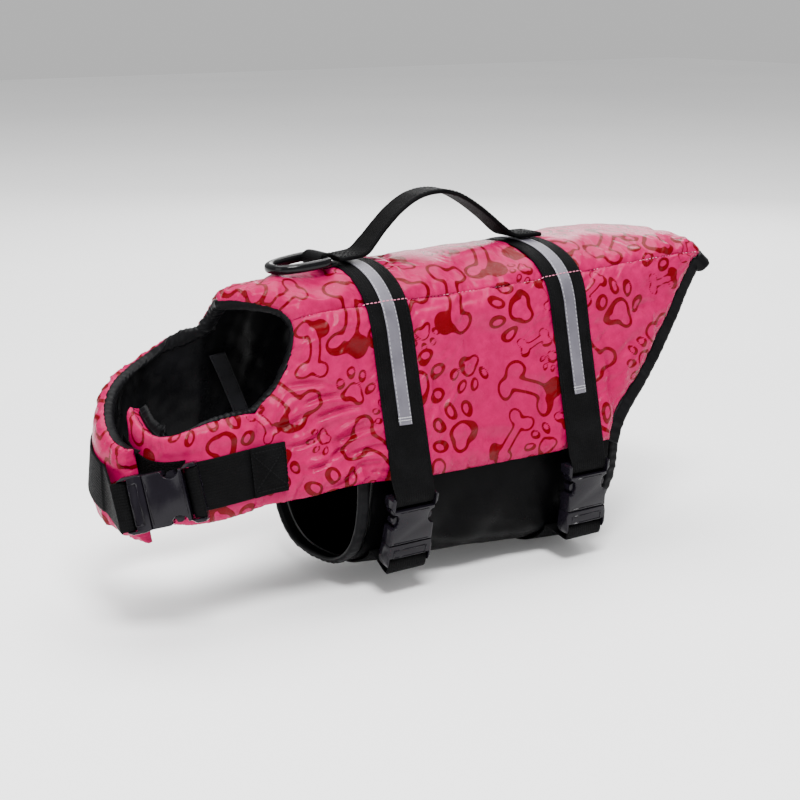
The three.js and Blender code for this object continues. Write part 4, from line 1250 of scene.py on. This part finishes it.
def moulding(node):
    """A smooth copy of a CAD moulding, its hard edges rounded."""
    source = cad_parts[node]
    mesh = source.data.copy()
    mesh.transform(source.matrix_world)
    bm = bmesh.new()
    bm.from_mesh(mesh)
    bmesh.ops.remove_doubles(bm, verts=bm.verts, dist=2e-6)
    bmesh.ops.dissolve_limit(bm, angle_limit=math.radians(1.5), verts=bm.verts, edges=bm.edges)
    sharp = [e for e in bm.edges if len(e.link_faces) == 2 and e.calc_face_angle(0) > math.radians(28)]
    bmesh.ops.bevel(bm, geom=sharp, offset=BUCKLE_ROUND * MM, segments=3, profile=0.6, affect="EDGES",
                    clamp_overlap=True)
    bm.to_mesh(mesh)
    bm.free()
    mesh.shade_smooth()
    mesh.set_sharp_from_angle(angle=math.radians(38))
    obj = link(node + "_moulding", mesh)
    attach(obj, "jacket")
    dress(obj, PLASTIC, node)


def buckle(name, spot):
    for half in ("socket", "plug"):
        moulding(f"{name}_buckle_{half}")
    bm = bmesh.new()
    for cx, cy, hx, hy, high in BARS:
        size = Matrix.Diagonal((2 * hx, 2 * hy, high + 0.6, 1))
        bmesh.ops.create_cube(bm, size=1, matrix=Matrix.Translation((cx, cy, -0.3 + high / 2)) @ size)
    bmesh.ops.bevel(bm, geom=bm.edges[:], offset=0.35, segments=3, affect="EDGES", clamp_overlap=True)
    points = place(spot, [v.co[:] for v in bm.verts])
    faces = [[v.index for v in f.verts] for f in bm.faces]
    bm.free()
    make_object(f"{name}_buckle_ridges", points, faces, PLASTIC)


def join(*groups):
    return [np.concatenate(parts) for parts in zip(*groups)]


def webbing(name, node, edges, spacing=1.6):
    ribbon(name, node, WEB, edges, WEBBING_THICK, 14, spacing)


# Straps over the back and under the belly
STRAP_LIFT = SURFACE - 0.3
TAPE_LIFT = STRAP_LIFT + WEBBING_THICK + 0.05
TAPE_TOP = TAPE_LIFT + 0.68
TAPE_HALF = 5
SEAM_LIFT = LINING + GAP + SEAM_THICK + 0.3
# Stitch rows: how far from the middle of a strap and of a tape
STRAP_SEWN = 13.6
TAPE_SEWN = 4.2
BUCKLE_ROW = -15
BUCKLE_LIFT = SURFACE + 0.4 + WEBBING_THICK + 1.4


def strip_edges(x, half, rows, lift):
    return skin(x - half, rows, lift), skin(x + half, rows, lift), skin_normal(x, rows)


def seam_stitches(side):
    """The seam's own stitches, which run on over the straps and tapes."""
    x = np.arange(-134, 210, 0.8)
    d = np.minimum(np.abs(x - FRONT_STRAP), np.abs(x - REAR_STRAP))
    lift = SEAM_LIFT + (TAPE_LIFT - SEAM_LIFT) * (1 - smoothstep(HALF - 0.4, HALF + 3, d))
    lift += 0.75 * (1 - smoothstep(4.6, 5.6, d))
    row = side * SEAM_ROW
    pink.line(skin(x, row, lift), skin_normal(x, row), 3.1, 2.3, 0.33, 0.1)


def back_strap(name, x, spot):
    rows = np.concatenate([np.linspace(-14.2, -6, 10), np.linspace(-5.5, 5.5, 23), np.linspace(6, 13.8, 9)])
    edges = join(buckle_rungs(spot, SOCKET_TURN), strip_edges(x, HALF, rows, STRAP_LIFT))
    webbing(f"{name}_strap_webbing", f"strap_{name}", edges)
    sewn = rows[np.abs(rows) < 12.6]
    for dx in (-STRAP_SEWN, STRAP_SEWN):
        black.line(skin(x + dx, sewn, TAPE_LIFT), skin_normal(x, sewn), 3.2, 2.3, 0.28, 0.1)


def tape(name, x):
    rows = np.linspace(-11, 11, 60)
    edges = strip_edges(x, TAPE_HALF, rows, TAPE_LIFT)
    ribbon(f"{name}_reflector", f"reflective_tape_{name}", REFLECT, edges, 0.6, 6, 1.6,
           gathers(81, 420, 14, 0.12))
    for dx in (-TAPE_SEWN, TAPE_SEWN):
        white.line(skin(x + dx, rows, TAPE_TOP), edges[2], 3.0, 2.1, 0.17, 0.1)
    across = np.linspace(x - TAPE_HALF - 0.5, x + TAPE_HALF + 0.5, 9)
    for row in (-10.75, -10.6, 10.6, 10.75):
        white.line(skin(across, row, TAPE_TOP), skin_normal(across, row), 1.3, 1.2, 0.28)


def belly_strap(name, x, spot, plug_row):
    rows = np.linspace(FREE_ROWS - 0.3, plug_row, 40)
    under = (belly(x - HALF, rows, 0.3), belly(x + HALF, rows, 0.3), belly_normal(x, rows))
    edges = join(under, buckle_rungs(spot, PLUG_TURN[::-1]))
    webbing(f"{name}_belly_webbing", f"belly_strap_{name}", edges)


for side in (-1, 1):
    seam_stitches(side)
for name, x, lean, plug_row in (("front", FRONT_STRAP, 0.2, -5), ("rear", REAR_STRAP, 0.07, -5.5)):
    top = skin(x, BUCKLE_ROW, BUCKLE_LIFT)
    spot = buckle_frame(top, (0, -math.sin(lean), math.cos(lean)), (0, -1, 0))
    buckle(name, spot)
    back_strap(name, x, spot)
    tape(name, x)
    belly_strap(name, x, spot, plug_row)

# Neck closure
NECK_TOP = np.array([-229, -71.5, -109.0])
NECK_END = np.array([-268.5, -39.5, -121.0])
NECK_OUT = (-0.62, -0.78, 0.16)
# Share of the band's height at the webbing's middle: near, far at its root, far at its end
NEAR_SHARE = 0.6
FAR_SHARES = (0.66, 0.52)
FOLD_COLUMN = -1.3
FOLD_RISE = 1.7


def band_rungs(columns, band, share, lift):
    side, first = band["side"], band["first"]
    span = HEM_ROW - first
    top, _ = net_point(columns, side * first, lift)
    low, _ = net_point(columns, side * HEM_ROW, lift)
    half = HALF / np.linalg.norm(low - top, axis=1) * span
    middle = first + share * span
    a, _ = net_point(columns, side * (middle - half), lift)
    b, _ = net_point(columns, side * (middle + half), lift)
    _, n = net_point(columns, side * middle, lift)
    return a, b, n


def near_webbing():
    """The near neck webbing, giving back the rungs of its end, which end_block doubles and box-stitches."""
    columns = np.linspace(1.4, -5.6, 14)
    rungs = band_rungs(columns, LEFT_BAND, NEAR_SHARE, SURFACE)
    edges = join(rungs, buckle_rungs(neck_spot, SOCKET_TURN[::-1]))
    webbing("near_neck_webbing", "neck_strap_left", edges, 1.4)
    return [part[columns > FOLD_COLUMN] for part in rungs]


def far_webbing():
    columns = np.linspace(1.4, -RIGHT_REACH + 2.6, 26)
    root, end = FAR_SHARES
    share = root + (end - root) * (-columns / RIGHT_REACH)
    rungs = band_rungs(columns, RIGHT_BAND, share, SURFACE + 0.2)
    edges = join(rungs, buckle_rungs(neck_spot, PLUG_TURN[::-1]))
    webbing("far_neck_webbing", "neck_strap_right", edges, 1.4)


def end_block(a, b, n):
    fold = (a + n * FOLD_RISE, b + n * FOLD_RISE, n)
    ribbon("near_webbing_fold", None, WEB, fold, 1.2, 14, 1.4)
    places = ((0, 0.1), (0, 0.9), (-1, 0.9), (-1, 0.1))
    corners = [a[i] + (b[i] - a[i]) * t + n[i] * (FOLD_RISE + 1.25) for i, t in places]
    black.box(corners, n[0], 2.6, 1.9, 0.28)


def hook_pad():
    columns = np.linspace(-5.9, 0.15 - LEFT_REACH, 16)
    upper, _ = net_point(columns, -10.5, SURFACE + 0.3)
    lower, n = net_point(columns, -12.6, SURFACE + 0.3)
    ribbon("hook_pad_pile", "hook_pad", PILE, (lower, upper, n), 1.2, 12, 1.4)


neck_spot = buckle_frame(NECK_TOP, NECK_TOP - NECK_END, NECK_OUT)
buckle("neck", neck_spot)
near_end = near_webbing()
far_webbing()
end_block(*near_end)
hook_pad()

# Handle, as x and z along its middle
HANDLE = np.array([
    (-85, 13.2), (-75, 13.6), (-63, 15.5), (-55, 22), (-45, 32), (-32, 43), (-17, 51), (-1, 53.5),
    (14, 51), (29, 43.5), (45, 32.5), (59, 21.5), (67, 17.2), (76, 16.2), (91, 16),
], float)
UP = (0, 0, 1.0)


def upright(path, half):
    """Edges of a strip that lies across the jacket along an x, z path."""
    tangent = unit(np.gradient(path, axis=0))
    out = np.stack([-tangent[:, 1], np.zeros(len(path)), tangent[:, 0]], 1)
    a, b = (np.stack([path[:, 0], way * half + 0 * path[:, 0], path[:, 1]], 1) for way in (-1, 1))
    return a, b, out


def handle():
    path = spline_matrix(np.linspace(0, len(HANDLE) - 1, 150), len(HANDLE)) @ HANDLE
    half = 12 - 1.6 * smoothstep(15, 30, path[:, 1])
    a, b, out = upright(path, half)
    ribbon("handle_webbing", "handle", WEB, (a, b, out), 3.0, 12, 1.4, gathers(91, 300, 11, 0.25), 1.2)
    for t in (0.08, 0.92):
        black.line(a + (b - a) * t + out * 3.1, out, 3.2, 2.3, 0.3, 0.15)
    for x0, x1 in ((-84, -66), (70, 90)):
        z0, z1 = (np.interp(x, path[:, 0], path[:, 1]) + 3.15 for x in (x0, x1))
        black.box([(x0, -9, z0), (x1, -9, z1), (x1, 9, z1), (x0, 9, z0)], UP, 2.8, 2.0, 0.3)


handle()

# Leash ring and its tab
RING_PIVOT = np.array([-97, 0, 14.9])
RING_REST = 0.1
RING_STOCK = 6.6
RING_HALF = 19.5
RING_REACH = 42
RING_SIDES = 16
TAB_HALF = 11.5
TAB_END = -86.6
TAB_TOP_X = -92


def rounded(turn, power):
    return math.copysign(abs(math.cos(turn)) ** power, math.cos(turn))


def ring():
    half, bow = RING_HALF - RING_STOCK / 2, RING_REACH - RING_STOCK
    turn = np.linspace(0, math.pi, 72)
    x = -bow * np.abs(np.sin(turn)) ** 0.85
    y = half * np.sign(np.cos(turn)) * np.abs(np.cos(turn)) ** 0.75
    loop = np.stack([x, y, 0 * x], 1)
    bar = np.array([(0, y, 0) for y in np.linspace(-half, half, 16)[1:-1]])
    path = np.concatenate([loop, bar])
    for _ in range(3):
        path = 0.5 * path + 0.25 * (np.roll(path, 1, 0) + np.roll(path, -1, 0))
    side = np.cross(unit(np.roll(path, -1, 0) - np.roll(path, 1, 0)), UP)
    points = np.empty((len(path), RING_SIDES, 3))
    for k in range(RING_SIDES):
        t = 2 * math.pi * k / RING_SIDES
        wide, high = (3.2 * rounded(angle, 0.75) for angle in (t, t - math.pi / 2))
        points[:, k] = path + side * wide + np.array([0, 0, high])
    c, s = math.cos(RING_REST), math.sin(RING_REST)
    lean = np.array([(c, 0, s), (0, 1, 0), (-s, 0, c)])
    faces = tube_faces(len(path), RING_SIDES, closed=True)
    points = (points @ lean + RING_PIVOT).reshape(-1, 3)
    make_object("leash_ring_moulding", points, faces, RING_PLASTIC, "leash_ring", "ring")


def ring_tab():
    """The tab's loop around the ring's bar, sewn down behind it."""
    radius = RING_STOCK / 2 + 0.65
    foot = skin(TAB_END, 0, SURFACE + 0.4)[2]
    top, end = RING_PIVOT[2] + radius - 1, foot + 5.2
    path = [(TAB_END, foot + 1.6), (-91, foot + 1.8)]
    for turn in np.linspace(-math.pi / 2, math.pi / 2, 12):
        path.append((RING_PIVOT[0] - radius * math.cos(turn), RING_PIVOT[2] + radius * math.sin(turn)))
    path += [(TAB_TOP_X, top), (TAB_END, end)]
    ribbon("ring_tab_webbing", "ring_tab", WEB, upright(np.array(path), TAB_HALF), WEBBING_THICK, 12, 0.9)
    for x in (-88.2, -90.2):
        z = np.interp(x, [TAB_TOP_X, TAB_END], [top, end]) + 1.7
        line = [(x, y, z) for y in np.linspace(-10.5, 10.5, 8)]
        black.line(line, [UP] * len(line), 2.6, 1.9, 0.28)


ring()
ring_tab()

pink.build("seam_stitches", PINK_THREAD)
white.build("tape_stitches", WHITE_THREAD)
black.build("webbing_stitches", BLACK_THREAD)

# Stage, camera and light, in metres
FLOOR_SIZE = 6.0
FLOOR_Z = -0.2125


def floor():
    corners = [(-1, -1), (1, -1), (1, 1), (-1, 1)]
    mesh = bpy.data.meshes.new("floor")
    mesh.from_pydata([(FLOOR_SIZE * x, FLOOR_SIZE * y, FLOOR_Z) for x, y in corners], [], [(0, 1, 2, 3)])
    sh = Shader("floor_paper")
    paper = sh.mix(sh.cloud(1.2, 2.0, 0.3, 0.7), (0.86, 0.86, 0.865, 1), (0.9, 0.9, 0.9, 1))
    mesh.materials.append(sh.finish(Base_Color=paper, Roughness=0.9, Emission_Color=(1, 1, 1, 1),
                                    Emission_Strength=0.08))
    link("floor", mesh)


def aim(obj, location, way):
    obj.location = location
    obj.rotation_mode = "QUATERNION"
    obj.rotation_quaternion = Vector(way).to_track_quat("-Z", "Y")


def area_light(name, location, target, size, power):
    data = bpy.data.lights.new(name, "AREA")
    data.shape = "RECTANGLE"
    data.size, data.size_y = size
    data.energy = power
    aim(link(name, data), location, Vector(target) - Vector(location))


floor()

camera = link("camera", bpy.data.cameras.new("camera"))
camera.data.sensor_width = 36
camera.data.lens = 75.6
aim(camera, (-0.69968, -0.95949, 0.19832), (0.55654, 0.79482, -0.24192))
bpy.context.scene.camera = camera

area_light("key", (-0.5, -0.9, 1.5), (0, 0, -0.05), (0.6, 0.5), 60)
area_light("top", (0.3, 0.6, 2.4), (0, 0.2, -0.05), (2.6, 2.2), 130)
area_light("fill", (-1.4, -0.2, 0.4), (-0.05, 0, -0.08), (0.8, 0.8), 7)
area_light("back_fill", (1.2, 1.3, 0.7), (0, 0, -0.05), (1.0, 1.0), 14)

world = bpy.data.worlds.new("studio")
world.use_nodes = True
world.node_tree.nodes["Background"].inputs[0].default_value = (1, 1, 1, 1)
world.node_tree.nodes["Background"].inputs[1].default_value = 0.6
bpy.context.scene.world = world

bpy.context.view_layer.update()
